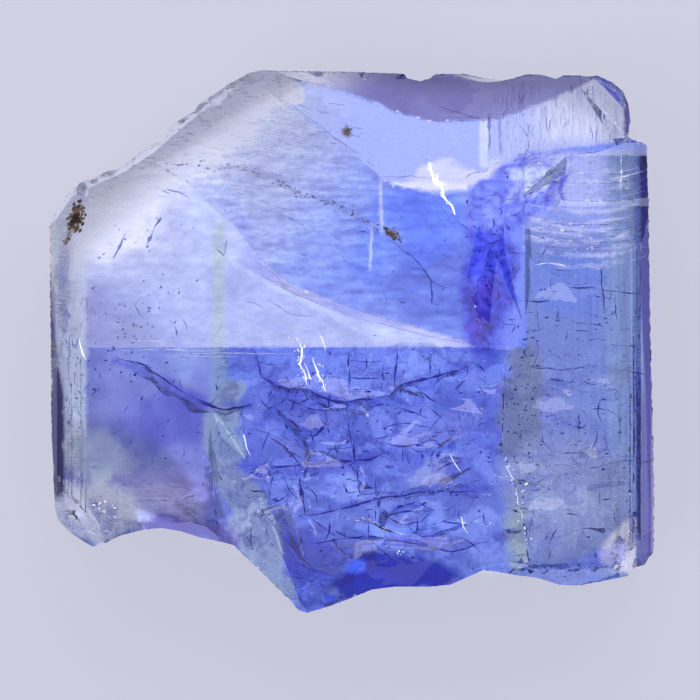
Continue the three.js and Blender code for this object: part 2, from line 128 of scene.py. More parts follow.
# Lines of the longest cracks, each from left to right.
MAIN_CRACK: list[Point] = [
    (-3.53, -0.57), (-3.31, -1.34), (-2.8, -1.67), (-2.29, -1.82), (-1.78, -1.67), (-1.26, -2.04),
    (-0.49, -2.29), (0.27, -2.22), (1.3, -2.04), (1.81, -1.6), (3.2, -1.3), (4.3, -0.95),
]
LEFT_CRACK: list[Point] = [
    (-8.55, -0.68), (-7.52, -0.94), (-6.83, -1.45), (-5.91, -2.04), (-5.29, -2.33), (-4.59, -2.55),
    (-4.01, -2.44), (-3.57, -2.29),
]
SIDE_CRACK: list[Point] = [(-2.84, -2.47), (-2.29, -2.95), (-1.78, -3.32), (-0.9, -3.3)]
STEEP_CRACK: list[Point] = [(-3.09, -3.46), (-2.54, -3.83), (-2.14, -4.23), (-1.85, -4.63)]
LENS_CRACK: list[Point] = [(1.3, -6.35), (1.7, -6.0), (2.4, -5.9), (2.8, -6.15)]

# Heights where the narrower crystal's growth steps are lowest, and the span that they cross.
TERRACES = (2.6, 3.0, 3.3, 3.5, 3.75, 3.95, 4.2, 4.6, 5.05, 5.35, 5.7, 6.05)
TERRACE_SPAN = (6.2, 7.0, 8.0, 9.0, 10.0)

# Painted shade: dark bands beside the cracks of the lower front, each with how far it reaches.
CRACK_SHADE_BANDS: list[tuple[float, list[Point]]] = [
    (0.3, [
        (-3.5, -0.4), (-3.3, -1.3), (-2.3, -1.8), (-1.3, -2.05), (0.3, -2.2), (1.8, -1.6), (4.5, -0.9),
    ]),
    (0.25, [(-2.8, -2.5), (-1.8, -3.3), (-0.9, -3.0), (-1.3, -2.1)]),
    (0.3, [(-4.2, -4.6), (-2.0, -4.75), (0.2, -4.4), (1.6, -3.9), (3.4, -3.2)]),
    (0.3, [(-8.6, -0.8), (-6.8, -1.5), (-5.3, -2.3), (-4.0, -2.4), (-3.5, -2.2)]),
    (0.3, [(-1.9, -6.4), (1.0, -5.75), (2.8, -5.5), (4.8, -5.4)]),
    (0.25, [(1.3, -6.3), (2.0, -5.95), (2.8, -6.2), (2.0, -6.65), (1.3, -6.3)]),
    (0.3, [(-1.5, -7.4), (0.4, -7.1), (2.2, -7.4), (4.9, -7.3)]),
    (0.18, [(1.6, -0.4), (1.5, -1.8), (1.6, -3.6)]),
    (0.18, [(0.1, -3.6), (0.1, -4.7), (0.3, -5.7)]),
]


def terrace_bow(index: int, x: float) -> float:
    """How far a growth step of the narrower crystal bends up."""
    return 0.075 * (x - 8.1 - 0.3 * (index % 3)) ** 2


class Crowd(Enum):
    """The kinds of small thing that lie in the stone, and the glowing slivers that are painted glints."""

    DARK = "dark_flecks"
    PALE = "pale_flecks"
    CRUMB = "rim_crumbs"
    # Painted highlights: slivers that glow in place of glints on crack edges.
    SPARK = "painted_glint_slivers"


def linear(channel: float) -> float:
    """One display channel from 0 to 255 as linear light."""
    share = channel / 255
    return share / 12.92 if share <= 0.04045 else ((share + 0.055) / 1.055) ** 2.4


def plain(red: float, green: float, blue: float) -> Colour:
    """A display colour as linear light."""
    return (linear(red), linear(green), linear(blue))


class Term:
    """A number socket that grows Math nodes under Python's operators."""

    def __init__(self, graph: "Graph", socket: bpy.types.NodeSocket) -> None:
        """Keeps an output socket and the graph that it belongs to."""
        self.graph = graph
        self.socket = socket

    def __add__(self, other: Number) -> "Term":
        """This value plus another."""
        return self.graph.math("ADD", self, other)

    def __sub__(self, other: Number) -> "Term":
        """This value less another."""
        return self.graph.math("SUBTRACT", self, other)

    def __rsub__(self, other: Number) -> "Term":
        """Another value less this one."""
        return self.graph.math("SUBTRACT", other, self)

    def __mul__(self, other: Number) -> "Term":
        """This value times another."""
        return self.graph.math("MULTIPLY", self, other)

    def __truediv__(self, other: Number) -> "Term":
        """This value over another."""
        return self.graph.math("DIVIDE", self, other)

    def __pow__(self, other: Number) -> "Term":
        """This value to a power."""
        return self.graph.math("POWER", self, other)

    def up(self, low: float, high: float) -> "Term":
        """A smooth rise from 0 at the low value to 1 at the high one."""
        rise = self.graph.node(
            "ShaderNodeMapRange",
            {"interpolation_type": "SMOOTHSTEP"},
            {"Value": self, "From Min": low, "From Max": high},
        )
        return Term(self.graph, rise.outputs["Result"])

    def most(self, other: Number) -> "Term":
        """The larger of this value and another."""
        return self.graph.math("MAXIMUM", self, other)


class Graph:
    """A new material's node tree, and short ways to grow it."""

    def __init__(self, name: str) -> None:
        """Makes the material, with an empty tree."""
        self.material = bpy.data.materials.new(name)
        self.material.use_nodes = True
        self.tree = self.material.node_tree
        self.tree.nodes.clear()

    def node(
        self, kind: str, settings: dict[str, Any] | None = None, inputs: dict[Any, Any] | None = None
    ) -> bpy.types.Node:
        """Adds one node.

        Args:
            kind: The node's type.
            settings: Its properties.
            inputs: Values, sockets or terms by input name or number.

        Returns:
            The node.
        """
        made = self.tree.nodes.new(kind)
        for name, value in (settings or {}).items():
            setattr(made, name, value)
        for name, value in (inputs or {}).items():
            self.feed(made.inputs[name], value)
        return made

    def feed(self, socket: bpy.types.NodeSocket, value: Any) -> None:
        """Links a term or socket into an input, or sets its value.

        Args:
            socket: The input.
            value: A term, an output socket, a number, or a colour of three.
        """
        if isinstance(value, Term):
            self.tree.links.new(value.socket, socket)
        elif isinstance(value, bpy.types.NodeSocket):
            self.tree.links.new(value, socket)
        elif isinstance(value, tuple) and socket.type == "RGBA":
            socket.default_value = (*value, 1.0)
        else:
            socket.default_value = value

    def math(self, operation: str, left: Number, right: Number) -> Term:
        """One Math node on two values."""
        made = self.node("ShaderNodeMath", {"operation": operation}, {0: left, 1: right})
        return Term(self, made.outputs[0])

    def mix(self, share: Number, under: Any, over: Any) -> bpy.types.NodeSocket:
        """Mixes two colours."""
        made = self.node("ShaderNodeMix", {"data_type": "RGBA"}, {0: share, 6: under, 7: over})
        return made.outputs[2]

    def shader(self, kind: str, inputs: dict[Any, Any]) -> bpy.types.NodeSocket:
        """Adds a shader node and gives its output."""
        return self.node("ShaderNode" + kind, None, inputs).outputs[0]

    def finish(self, surface: bpy.types.NodeSocket, **others: Any) -> bpy.types.Material:
        """Ends the tree in a surface, and a volume if there is one, and gives the material."""
        self.node("ShaderNodeOutputMaterial", None, {"Surface": surface, **others})
        return self.material


class Chart:
    """Places on a piece, in millimetres, for a material's fine detail."""

    def __init__(self, graph: Graph) -> None:
        """Reads the object's own coordinates.

        Args:
            graph: The graph to grow.
        """
        self.graph = graph
        place = graph.node("ShaderNodeTexCoord").outputs["Object"]
        scaled = graph.node(
            "ShaderNodeVectorMath", {"operation": "SCALE"}, {0: place, "Scale": 1 / MM}
        )
        self.place = scaled.outputs[0]

    def noise(
        self,
        scale: float,
        detail: float,
        stretch: tuple[float, float, float] = (1, 1, 1),
        turn: float = 0.0,
    ) -> Term:
        """Cloudy noise from 0 to 1.

        Args:
            scale: Repeats per millimetre.
            detail: How many finer layers it has.
            stretch: Factors on the three coordinates.
            turn: How far the pattern is turned in x and y, in degrees.

        Returns:
            The noise.
        """
        place = self.graph.node(
            "ShaderNodeMapping",
            {"vector_type": "POINT"},
            {"Vector": self.place, "Scale": stretch, "Rotation": (0.0, 0.0, math.radians(turn))},
        )
        made = self.graph.node(
            "ShaderNodeTexNoise", None, {"Vector": place.outputs[0], "Scale": scale, "Detail": detail}
        )
        return Term(self.graph, made.outputs["Fac"])


class Grain:
    """Smooth seeded noise, measured at many points at once."""

    PRIMES = (73856093, 19349663, 83492791)
    SEED_STEP = 2654435
    MIXER = 1274126177
    LOW_BITS = 0xFFFF

    def __init__(self, seed: int) -> None:
        """Keeps the seed, which says which noise it is."""
        self.seed = seed

    def _corner(self, cells: np.ndarray) -> np.ndarray:
        """A value from 0 to 1 for each whole-numbered corner."""
        mixed = cells[:, 0] * self.PRIMES[0] ^ cells[:, 1] * self.PRIMES[1]
        mixed = mixed ^ cells[:, 2] * self.PRIMES[2] ^ self.seed * self.SEED_STEP
        mixed = (mixed ^ (mixed >> 13)) * self.MIXER
        return ((mixed ^ (mixed >> 16)) & self.LOW_BITS) / self.LOW_BITS

    def _layer(self, spots: np.ndarray) -> np.ndarray:
        """One layer of noise.

        Args:
            spots: Where to measure it.

        Returns:
            Values from 0 to 1.
        """
        base = np.floor(spots).astype(np.int64)
        ease = spots - base
        ease = ease * ease * (3 - 2 * ease)
        total = np.zeros(len(spots))
        for corner in itertools.product((0, 1), repeat=3):
            weight = np.prod(np.where(corner, ease, 1 - ease), axis=1)
            total += weight * self._corner(base + np.array(corner))
        return total

    def at(
        self,
        spots: np.ndarray,
        scale: float,
        layers: int = 3,
        stretch: tuple[float, float, float] = (1, 1, 1),
    ) -> np.ndarray:
        """Noise with finer layers.

        Args:
            spots: Where to measure it, in millimetres.
            scale: Repeats per millimetre.
            layers: How many layers it has.
            stretch: Factors on the three coordinates.

        Returns:
            Values from 0 to 1, mostly near a half.
        """
        place = spots * scale * np.array(stretch)
        total, whole, weight = np.zeros(len(spots)), 0.0, 1.0
        for _ in range(layers):
            total += weight * self._layer(place)
            whole += weight
            place, weight = place * 2.03 + 17.3, weight * 0.5
        return total / whole


def rise(values: np.ndarray, low: float, high: float) -> np.ndarray:
    """A smooth rise from 0 at the low value to 1 at the high one."""
    share = np.clip((values - low) / (high - low), 0, 1)
    return share * share * (3 - 2 * share)


class Places:
    """Points of the crystal's surface, and the masks that are measured on them."""

    def __init__(self, spots: np.ndarray, normals: np.ndarray) -> None:
        """Keeps the points, and shaken copies of them for ragged edges.

        Args:
            spots: The points, in millimetres.
            normals: Their normals.
        """
        self.spots = spots
        self.normals = normals
        self.x, self.y, self.z = spots.T
        shake, shiver = self.noise(2.2, 3, 1) - 0.5, self.noise(8.0, 2, 2) - 0.5
        self.edge_x = self.x + shake * 0.16 + shiver * 0.08
        self.edge_y = self.y + shake * 0.13 + shiver * 0.08
        self.far_x = self.x + (self.noise(0.9, 4, 3) - 0.5) * 1.5
        self.far_y = self.y + (self.noise(1.1, 4, 4) - 0.5) * 1.5

    def noise(
        self, scale: float, layers: int, seed: int, stretch: tuple[float, float, float] = (1, 1, 1)
    ) -> np.ndarray:
        """Noise at the points.

        Args:
            scale: Repeats per millimetre.
            layers: How many layers it has.
            seed: Which noise it is.
            stretch: Factors on the three coordinates.

        Returns:
            Values from 0 to 1.
        """
        return Grain(seed).at(self.spots, scale, layers, stretch)

    def above(self, line: Sequence[Point], soft: float = 0.06) -> np.ndarray:
        """Where the front lies above a line across it."""
        xs, ys = zip(*line)
        return rise(self.edge_y - np.interp(self.edge_x, xs, ys), -soft, soft)

    def spot(self, at: Point, reach: Point, soft: float = 0.5, turn: float = 0.0) -> np.ndarray:
        """An oval with a ragged rim.

        Args:
            at: Its middle.
            reach: Its half-widths along and across.
            soft: How much of it is fading edge.
            turn: How far it is turned, in degrees.

        Returns:
            The mask.
        """
        cos, sin = math.cos(math.radians(turn)), math.sin(math.radians(turn))
        small = max(reach) < 0.6
        right = (self.edge_x if small else self.far_x) - at[0]
        up = (self.edge_y if small else self.far_y) - at[1]
        along = (right * cos + up * sin) / reach[0]
        across = (up * cos - right * sin) / reach[1]
        return 1 - rise(along * along + across * across, 1 - soft, 1 + soft)

    def between(self, across: bool, low: float, high: float, soft: float = 0.06) -> np.ndarray:
        """A strip between two places in x, or in y.

        Args:
            across: Whether the places are in x.
            low: Its lower edge.
            high: Its upper edge.
            soft: Half the width of each fading edge.

        Returns:
            The mask.
        """
        run = self.edge_x if across else self.edge_y
        return rise(run, low - soft, low + soft) * (1 - rise(run, high - soft, high + soft))

    def near(self, line: Sequence[Point], reach: float) -> np.ndarray:
        """How near the points are to a line on the front.

        Args:
            line: The line's corners.
            reach: Where the mask has faded out, in millimetres.

        Returns:
            The mask, 1 on the line.
        """
        spot = np.stack([self.edge_x, self.edge_y], axis=1)
        least = np.full(len(spot), 1e9)
        for a, b in zip(np.array(line[:-1]), np.array(line[1:])):
            run = b - a
            share = np.clip(((spot - a) @ run) / (run @ run), 0, 1)
            gap = np.hypot(*(spot - a - share[:, None] * run).T)
            least = np.minimum(least, gap)
        return 1 - rise(least, 0.0, reach)


class Shards:
    """Broken patches: each point belongs to the patch with the nearest middle."""

    def __init__(self, seed: int, count: int, low: Point, high: Point) -> None:
        """Strews the middles.

        Args:
            seed: Which patches they are.
            count: How many there are.
            low: The lower left corner of their field.
            high: Its upper right corner.
        """
        rng = np.random.default_rng(seed)
        self.middles = rng.uniform(low, high, (count, 2))
        self.shades = rng.uniform(0, 1, count)

    def at(self, xs: np.ndarray, ys: np.ndarray, squash: float) -> tuple[np.ndarray, np.ndarray]:
        """Finds each point's patch.

        Args:
            xs: The points' places in x.
            ys: Their places in y.
            squash: How much wider than high the patches are.

        Returns:
            The patch's shade at each point, and how far the point is from the patch's edge.
        """
        right = xs[:, None] - self.middles[None, :, 0]
        up = (ys[:, None] - self.middles[None, :, 1]) * squash
        gaps = np.hypot(right, up)
        order = np.argpartition(gaps, 1, axis=1)[:, :2]
        rows = np.arange(len(xs))
        first, second = gaps[rows, order[:, 0]], gaps[rows, order[:, 1]]
        nearest = np.where(first <= second, order[:, 0], order[:, 1])
        return self.shades[nearest], np.abs(second - first)


class Wash:
    """A colour for each point, built up in layers."""

    def __init__(self, count: int, ground: Colour) -> None:
        """Gives a number of points one colour, as it is seen."""
        self.colour = np.tile(np.array(plain(*ground)), (count, 1))

    def over(self, mask: np.ndarray, seen: Colour) -> None:
        """Lays a colour over what is there."""
        share = np.clip(mask, 0, 1)[:, None]
        self.colour = self.colour * (1 - share) + np.array(plain(*seen)) * share

    def shade(self, factor: np.ndarray) -> None:
        """Darkens or lightens what is there, blue half as much as red and green."""
        blue = 1 + (factor - 1) * 0.5
        self.colour = self.colour * np.stack([factor, factor, blue], axis=1)


class Paint:
    """The crystal's zones: the colour seen through each, partly its own zoning and partly painted light
    and shade, and how each is worn.
    """

    def __init__(self, places: Places) -> None:
        """Measures the front's fields.

        Args:
            places: The points to paint.
        """
        self.at = places
        self.wash = Wash(len(places.x), (112, 132, 228))
        at = places
        self.below = 1 - rise(at.edge_y, *RIDGE)
        self.second = rise(at.edge_x, *SECOND_START) * (1 - rise(at.edge_y, *SECOND_TOP))
        self.violet = at.above(VIOLET_BREAK)
        self.lavender = at.above(LAVENDER_BREAK) * (1 - self.violet)
        main = 1 - rise(at.edge_x, *VALLEY_START)
        self.middle = at.above(WIDE_BREAK) * (1 - at.above(LAVENDER_BREAK)) * main
        self.slope = (1 - at.above(WIDE_BREAK)) * (1 - self.below) * main
        self.slanted = rise(at.x * -0.58 + at.y * 0.82, 7.0, 9.6) * (1 - self.lavender)
        inner = [(x, y + 0.75) for x, y in WIDE_BREAK]
        away = np.maximum(at.above(inner, 0.7), rise(at.x, -4.4, -3.2))
        self.frost = self.middle * rise(at.x * -0.62 + at.y * 0.5, 1.2, 5.2) * away
        self.front = rise(at.z, *FRONT_FOOT)

    def seen(self) -> np.ndarray:
        """Paints every zone."""
        self._upper()
        self._lower()
        self._right()
        self._broken()
        self._edges()
        return self.wash.colour

    def _ovals(self, field: np.ndarray, rows: Sequence[Oval]) -> None:
        """Lays ragged ovals of colour over a field.

        Args:
            field: Where they may lie.
            rows: Each one's middle, reach, softness, turn in degrees and colour.
        """
        for middle, reach, soft, turn, seen in rows:
            self.wash.over(field * self.at.spot(middle, reach, soft, turn), seen)

    def _mottle(
        self, field: np.ndarray, amount: float, scale: float, layers: int, seed: int,
        across: float, along: float,
    ) -> None:
        """Lightens and darkens a field by noise.

        Args:
            field: Where it does.
            amount: How strongly.
            scale: Repeats per millimetre.
            layers: How many layers of noise there are.
            seed: Which noise it is.
            across: The factor on x.
            along: The factor on y.
        """
        cloud = self.at.noise(scale, layers, seed, (across, along, 1)) - 0.5
        self.wash.shade(1 + cloud * amount * field)

    def _upper(self) -> None:
        """Colours the slope from the ridge to the thin end."""
        at, over, ovals = self.at, self.wash.over, self._ovals
        middle, slope, lavender = self.middle, self.slope, self.lavender
        over(middle, (118, 140, 224))
        ovals(middle, (
            ((3.2, 1.9), (1.7, 1.7), 0.6, 0, (90, 110, 208)),
            ((2.4, 4.2), (1.8, 1.6), 0.5, 0, (86, 114, 228)),
            ((0.9, 3.2), (0.9, 1.5), 0.6, 0, (104, 132, 228)),
        ))
        over(middle * (1 - rise(at.x, -5.2, -3.0)), (172, 181, 228))
        over(self.frost, (158, 169, 220))
        ovals(self.frost, [((-6.0, 7.4), (2.4, 1.7), 0.6, 35, (184, 190, 222))])
        over(slope, (150, 159, 213))
        over(slope * (1 - rise(at.x, -8.5, -4.0)) * rise(at.y, 1.0, 3.4), (174, 180, 218))
        over(slope * at.above(INNER_BREAK, 0.04) * rise(at.x, -6.8, -6.2), (168, 177, 224))
        ovals(slope, (
            ((-8.6, 4.3), (1.9, 1.2), 0.7, 30, (206, 209, 232)),
            ((-8.9, 0.3), (1.7, 1.6), 0.8, 0, (112, 119, 184)),
        ))
        swoosh = at.above(SWOOSH_TOP, 0.12) * slope * rise(at.x, -4.6, -3.4)
        over(swoosh, (130, 139, 212))
        ovals(swoosh, (
            ((-2.1, 1.3), (1.6, 0.9), 0.6, -25, (138, 140, 198)),
            ((2.8, -0.05), (1.6, 0.3), 0.6, -8, (166, 166, 228)),
        ))
        stripe = at.between(True, -5.08, -4.62, 0.12) * at.between(False, -2.6, 4.3, 0.3)
        over(slope * stripe * 0.8, (152, 167, 182))
        over(at.near(CRUMB_SEAM, 0.16) * 0.5, (112, 124, 186))
        over(lavender, (154, 168, 240))
        over(lavender * (1 - rise(at.x, -3.4, 0.6)), (184, 192, 222))
        over(lavender * rise(at.x, 4.4, 5.6), (168, 176, 231))
        over(lavender * rise(at.x, 6.2, 7.6) * rise(at.y, 7.0, 7.6), (194, 198, 230))
        ovals(lavender, [((3.8, 5.9), (1.9, 0.5), 0.4, 8, (198, 200, 246))])
        over(lavender * at.between(False, 5.5, 5.72, 0.05) * at.between(True, 1.2, 4.2), (214, 218, 248))
        block = at.between(True, 4.66, 5.0, 0.05) * at.between(False, 6.3, 8.3)
        over(lavender * block * 0.55, (216, 220, 252))
        over(lavender * at.near([(5.4, 6.3), (5.42, 8.2)], 0.07), (124, 130, 208))
        # Painted highlights: thin white lines where crack edges catch the light.
        for line in ([(1.04, 6.1), (1.06, 3.95)], [(0.7, 4.1), (0.64, 2.5)]):
            over(middle * at.near(line, 0.08) * 0.6, (206, 214, 252))
        over(self.violet, (114, 112, 175))
        ovals(self.violet, [((3.4, 9.2), (3.2, 0.7), 0.7, 0, (104, 100, 162))])
        self._mottle(np.maximum(middle, slope * 0.35), 1.0, 2.6, 4, 21, 0.35, 1.6)
        self._mottle(np.maximum(middle, slope * 0.7), 0.8, 5.0, 3, 25, 0.7, 1.4)
        self._mottle(slope, 0.55, 1.3, 4, 22, 0.8, 1.3)
        self._mottle(np.maximum(middle, swoosh), 0.7, 3.2, 3, 23, 0.22, 2.4)

    def _lower(self) -> None:
        """Colours the flat front below the ridge."""
        at, over, below, ovals = self.at, self.wash.over, self.below, self._ovals
        over(below, (110, 130, 222))
        over(below * rise(-at.y, 1.4, 2.6), (98, 114, 208))
        over(below * rise(-at.y, 4.6, 5.6), (106, 123, 209))
        ovals(below, (
            ((-0.6, -5.35), (0.9, 0.6), 0.25, 0, (128, 148, 232)),
            ((3.1, -4.7), (1.2, 0.5), 0.35, 20, (136, 148, 214)),
            ((2.0, -7.0), (1.9, 0.5), 0.5, 6, (112, 132, 222)),
        ))
        haze = below * (1 - rise(at.far_x, -5.6, -4.4))
        over(haze, (118, 125, 196))
        ovals(haze, (
            ((-6.2, -0.6), (2.4, 1.0), 0.6, 0, (130, 143, 210)),
            ((-6.5, -2.9), (1.7, 1.0), 0.7, 0, (92, 98, 188)),
            ((-9.0, -4.3), (1.1, 0.9), 0.8, 0, (168, 176, 216)),
            ((-7.2, -5.7), (2.3, 1.0), 0.8, 0, (142, 140, 208)),
            ((-9.3, -6.3), (1.7, 1.0), 0.6, 0, (206, 212, 236)),
        ))
        over(haze * at.between(True, -9.5, -8.75) * at.between(False, -5.15, -4.5), (186, 198, 222))
        ovals(haze, [((-9.0, -6.2), (0.5, 0.4), 0.4, 0, (240, 246, 255))])
        self._mottle(haze, 0.8, 2.2, 4, 24, 0.9, 0.7)
        stripe = at.between(True, -5.1, -4.5, 0.12) * at.between(False, -2.6, 0.3, 0.3)
        over(below * stripe * 0.8, (134, 160, 192))
        ovals(below, (
            ((-4.5, -3.1), (0.75, 1.6), 0.3, 0, (128, 146, 182)),
            ((-3.55, -7.0), (0.85, 3.1), 0.3, 24, (134, 150, 188)),
            ((-6.1, -6.9), (2.1, 0.45), 0.35, -8, (106, 102, 176)),
        ))
        base = below * at.spot((1.4, -8.6), (2.3, 0.95), 0.4)
        over(base, (24, 36, 152))
        ovals(base, [((0.05, -8.2), (0.45, 0.3), 0.4, 0, (66, 100, 236))])
        ovals(below, [((-1.3, -7.9), (1.0, 1.2), 0.5, 0, (92, 104, 196))])
        column = at.between(True, -10.8, -9.65, 0.15) * at.between(False, -4.6, 3.4, 0.5)
        over(column, (168, 177, 209))
        over(column * below, (168, 176, 202))

    def _right(self) -> None:
        """Colours the narrower crystal, and the valley beside it."""
        at, over, ovals = self.at, self.wash.over, self._ovals
        second = np.maximum(self.second, rise(at.far_x, 5.2, 6.0) * self.below)
        over(second, (114, 130, 196))
        over(second * rise(at.y, 3.2, 5.0), (144, 156, 226))
        ovals(second, [((8.6, 5.9), (2.4, 1.0), 0.5, 0, (164, 172, 228))])
        over(second * at.between(True, 9.2, 10.5, 0.25), (126, 146, 198))
        ovals(second, (
            ((7.7, 2.0), (1.3, 1.2), 0.5, 0, (106, 128, 206)),
            ((6.2, -2.5), (0.8, 2.1), 0.4, 0, (108, 120, 162)),
            ((7.6, -5.6), (2.4, 1.9), 0.6, 0, (134, 146, 192)),
            ((5.8, -7.0), (0.55, 1.15), 0.5, 0, (138, 155, 172)),
            ((10.2, -7.5), (1.1, 1.1), 0.35, 0, (208, 205, 224)),
        ))
        strong = [rise(at.noise(1.5, 3, 60 + i, (0.6, 1, 1)), 0.4, 0.62) * second for i in range(3)]
        for index, low in enumerate(TERRACES):
            line = [(x, low + terrace_bow(index, x)) for x in TERRACE_SPAN]
            over(at.near(line, 0.13) * strong[index % 3] * 0.6, (206, 212, 248))
        trough = at.spot((5.0, 2.3), (0.95, 3.1), 0.55, -3)
        over(trough, (60, 70, 208))
        ovals(trough, [((4.75, 0.9), (0.45, 1.3), 0.6, 0, (66, 54, 182))])
        blade = at.spot((6.0, 5.3), (1.85, 1.0), 0.4, 33)
        over(blade, (100, 114, 230))
        ovals(blade, [((6.5, 6.0), (1.4, 0.4), 0.6, 35, (150, 162, 238))])
        over(at.spot((7.72, 5.9), (0.1, 0.9), 0.6, -4) * 0.8, (72, 66, 200))
        over(at.spot((7.05, 5.8), (1.1, 0.35), 0.4, 40), (176, 188, 248))
        deep = np.maximum(trough, blade)
        uneven = np.zeros(len(deep))
        for amount, scale, layers, seed, stretch in (
            (1.5, 1.7, 4, 61, (1.4, 0.5, 1)),
            (1.3, 2.8, 4, 62, (1.0, 1.0, 1)),
            (2.2, 5.5, 3, 63, (0.8, 1.2, 1)),
        ):
            uneven += (at.noise(scale, layers, seed, stretch) - 0.5) * amount
        self.wash.shade(1 + uneven * deep)

    def _broken(self) -> None:
        """Breaks the lower front into patches, with dark lines between some of them, and lays painted
        shade beside the cracks.
        """
        at = self.at
        field = self.below * rise(at.x, *BROKEN_START) * (1 - rise(at.x, *BROKEN_END))
        quiet = 1 - 0.6 * rise(at.x, 5.0, 6.0)
        for seed, count, depth in ((3, 150, 0.55), (7, 420, 0.35)):
            shards = Shards(seed, count, (-6.0, -9.8), (11.0, 0.5))
            shade, edge = shards.at(at.far_x, at.far_y, 1.5)
            self.wash.shade(1 + (shade - 0.5) * depth * field * quiet)
            line = 1 - rise(edge, 0.02, 0.16)
            chosen = rise(at.noise(1.1, 3, seed + 40), 0.46, 0.6)
            self.wash.shade(1 - line * chosen * field * quiet * 0.4)
        broken = rise(at.noise(1.8, 4, 80), 0.3, 0.6)
        # Painted shade in dark blue bands beside the cracks.
        for reach, band in CRACK_SHADE_BANDS:
            self.wash.over(at.near(band, reach) * broken * 0.6, (62, 68, 184))

    def _edges(self) -> None:
        """Colours the narrow sides and edges with painted shade, the broken rim and the brown stains."""
        at, over = self.at, self.wash.over
        # Painted shade: the edges and steep narrow sides, seen at a grazing angle, are darkened to indigo,
        # with a painted pale fringe on the right edge.
        over(self.second * rise(at.x, 10.2, 10.35) * rise(-at.y, 0.5, 3.0), (84, 86, 158))
        inset = at.x - np.interp(at.y, (-6.0, -1.5, 2.0), (10.72, 10.55, 10.35))
        right = rise(inset, 0.0, 0.12) * (1 - rise(at.edge_y, 6.6, 6.9))
        over(right, (36, 30, 134))
        over(right * rise(at.x, 10.8, 10.95), (150, 138, 190))
        over(rise(at.x, 9.92, 10.0) * at.between(False, 7.5, 9.1, 0.1), (62, 54, 150))
        inset = at.x - np.interp(at.y, (-6.0, -2.0, 0.0), (-10.4, -10.45, -10.75))
        left = (1 - rise(inset, -0.08, 0.08)) * at.between(False, -5.8, 4.3, 0.3)
        over(left, (44, 38, 100))
        over(self.slanted * 0.8, (236, 238, 246))
        over(at.spot((-3.1, 9.3), (1.1, 0.8), 0.3), (240, 242, 250))
        for spot, reach, turn in (
            ((-10.05, 4.35), (0.28, 0.52), -20.0),
            ((-10.3, 3.75), (0.1, 0.35), -25.0),
            ((-0.2, 7.58), (0.17, 0.22), 30.0),
            ((1.45, 3.82), (0.3, 0.16), -25.0),
            ((-10.8, -0.25), (0.12, 0.12), 0.0),
        ):
            over(at.spot(spot, reach, 0.35, turn) * 0.9, STAIN)

    def wear(self) -> np.ndarray:
        """How each point is worn.

        Returns:
            For each point its frost, its grooves and its speckle, from 0 to 1.
        """
        at = self.at
        patchy = rise(at.noise(2.4, 4, 91, (1.2, 0.5, 1)), 0.42, 0.66)
        worn = [
            self.frost * 0.85,
            self.slanted,
            at.spot((-3.1, 9.3), (1.1, 0.8), 0.3),
            at.spot((-9.4, -6.4), (1.7, 1.1), 0.5) * (0.45 + 0.5 * patchy),
            at.spot((-8.4, -4.9), (1.3, 0.8), 0.8) * 0.4 * patchy,
            (1 - rise(at.x, -10.1, -9.5)) * at.between(False, -6.0, 3.6, 0.5) * 0.85 * patchy,
            at.spot((8.4, 5.4), (2.6, 1.9), 0.6) * self.second * 0.6 * patchy,
            at.spot((6.4, 5.9), (1.6, 0.7), 0.6, 35) * 0.5 * patchy,
            at.spot((7.05, 5.8), (1.1, 0.35), 0.4, 40) * 0.6,
            at.spot((10.1, -7.6), (0.9, 0.9), 0.5) * 0.7 * patchy,
            at.spot((-6.6, -5.95), (1.5, 0.55), 0.5, -18) * 0.75,
        ]
        frost = np.maximum.reduce(worn)
        sides = np.maximum(rise(at.x, 9.0, 9.8), 1 - rise(at.x, -10.3, -9.6))
        pale_end = self.lavender * rise(at.x, *PALE_END) * 0.6
        grooves = np.maximum(np.maximum(pale_end, sides * 0.7), self.second * 0.35)
        speckle = self.below * rise(at.x, *BROKEN_START)
        return np.stack([frost, grooves, np.maximum(speckle * 0.6, self.second * 0.4)], axis=1)


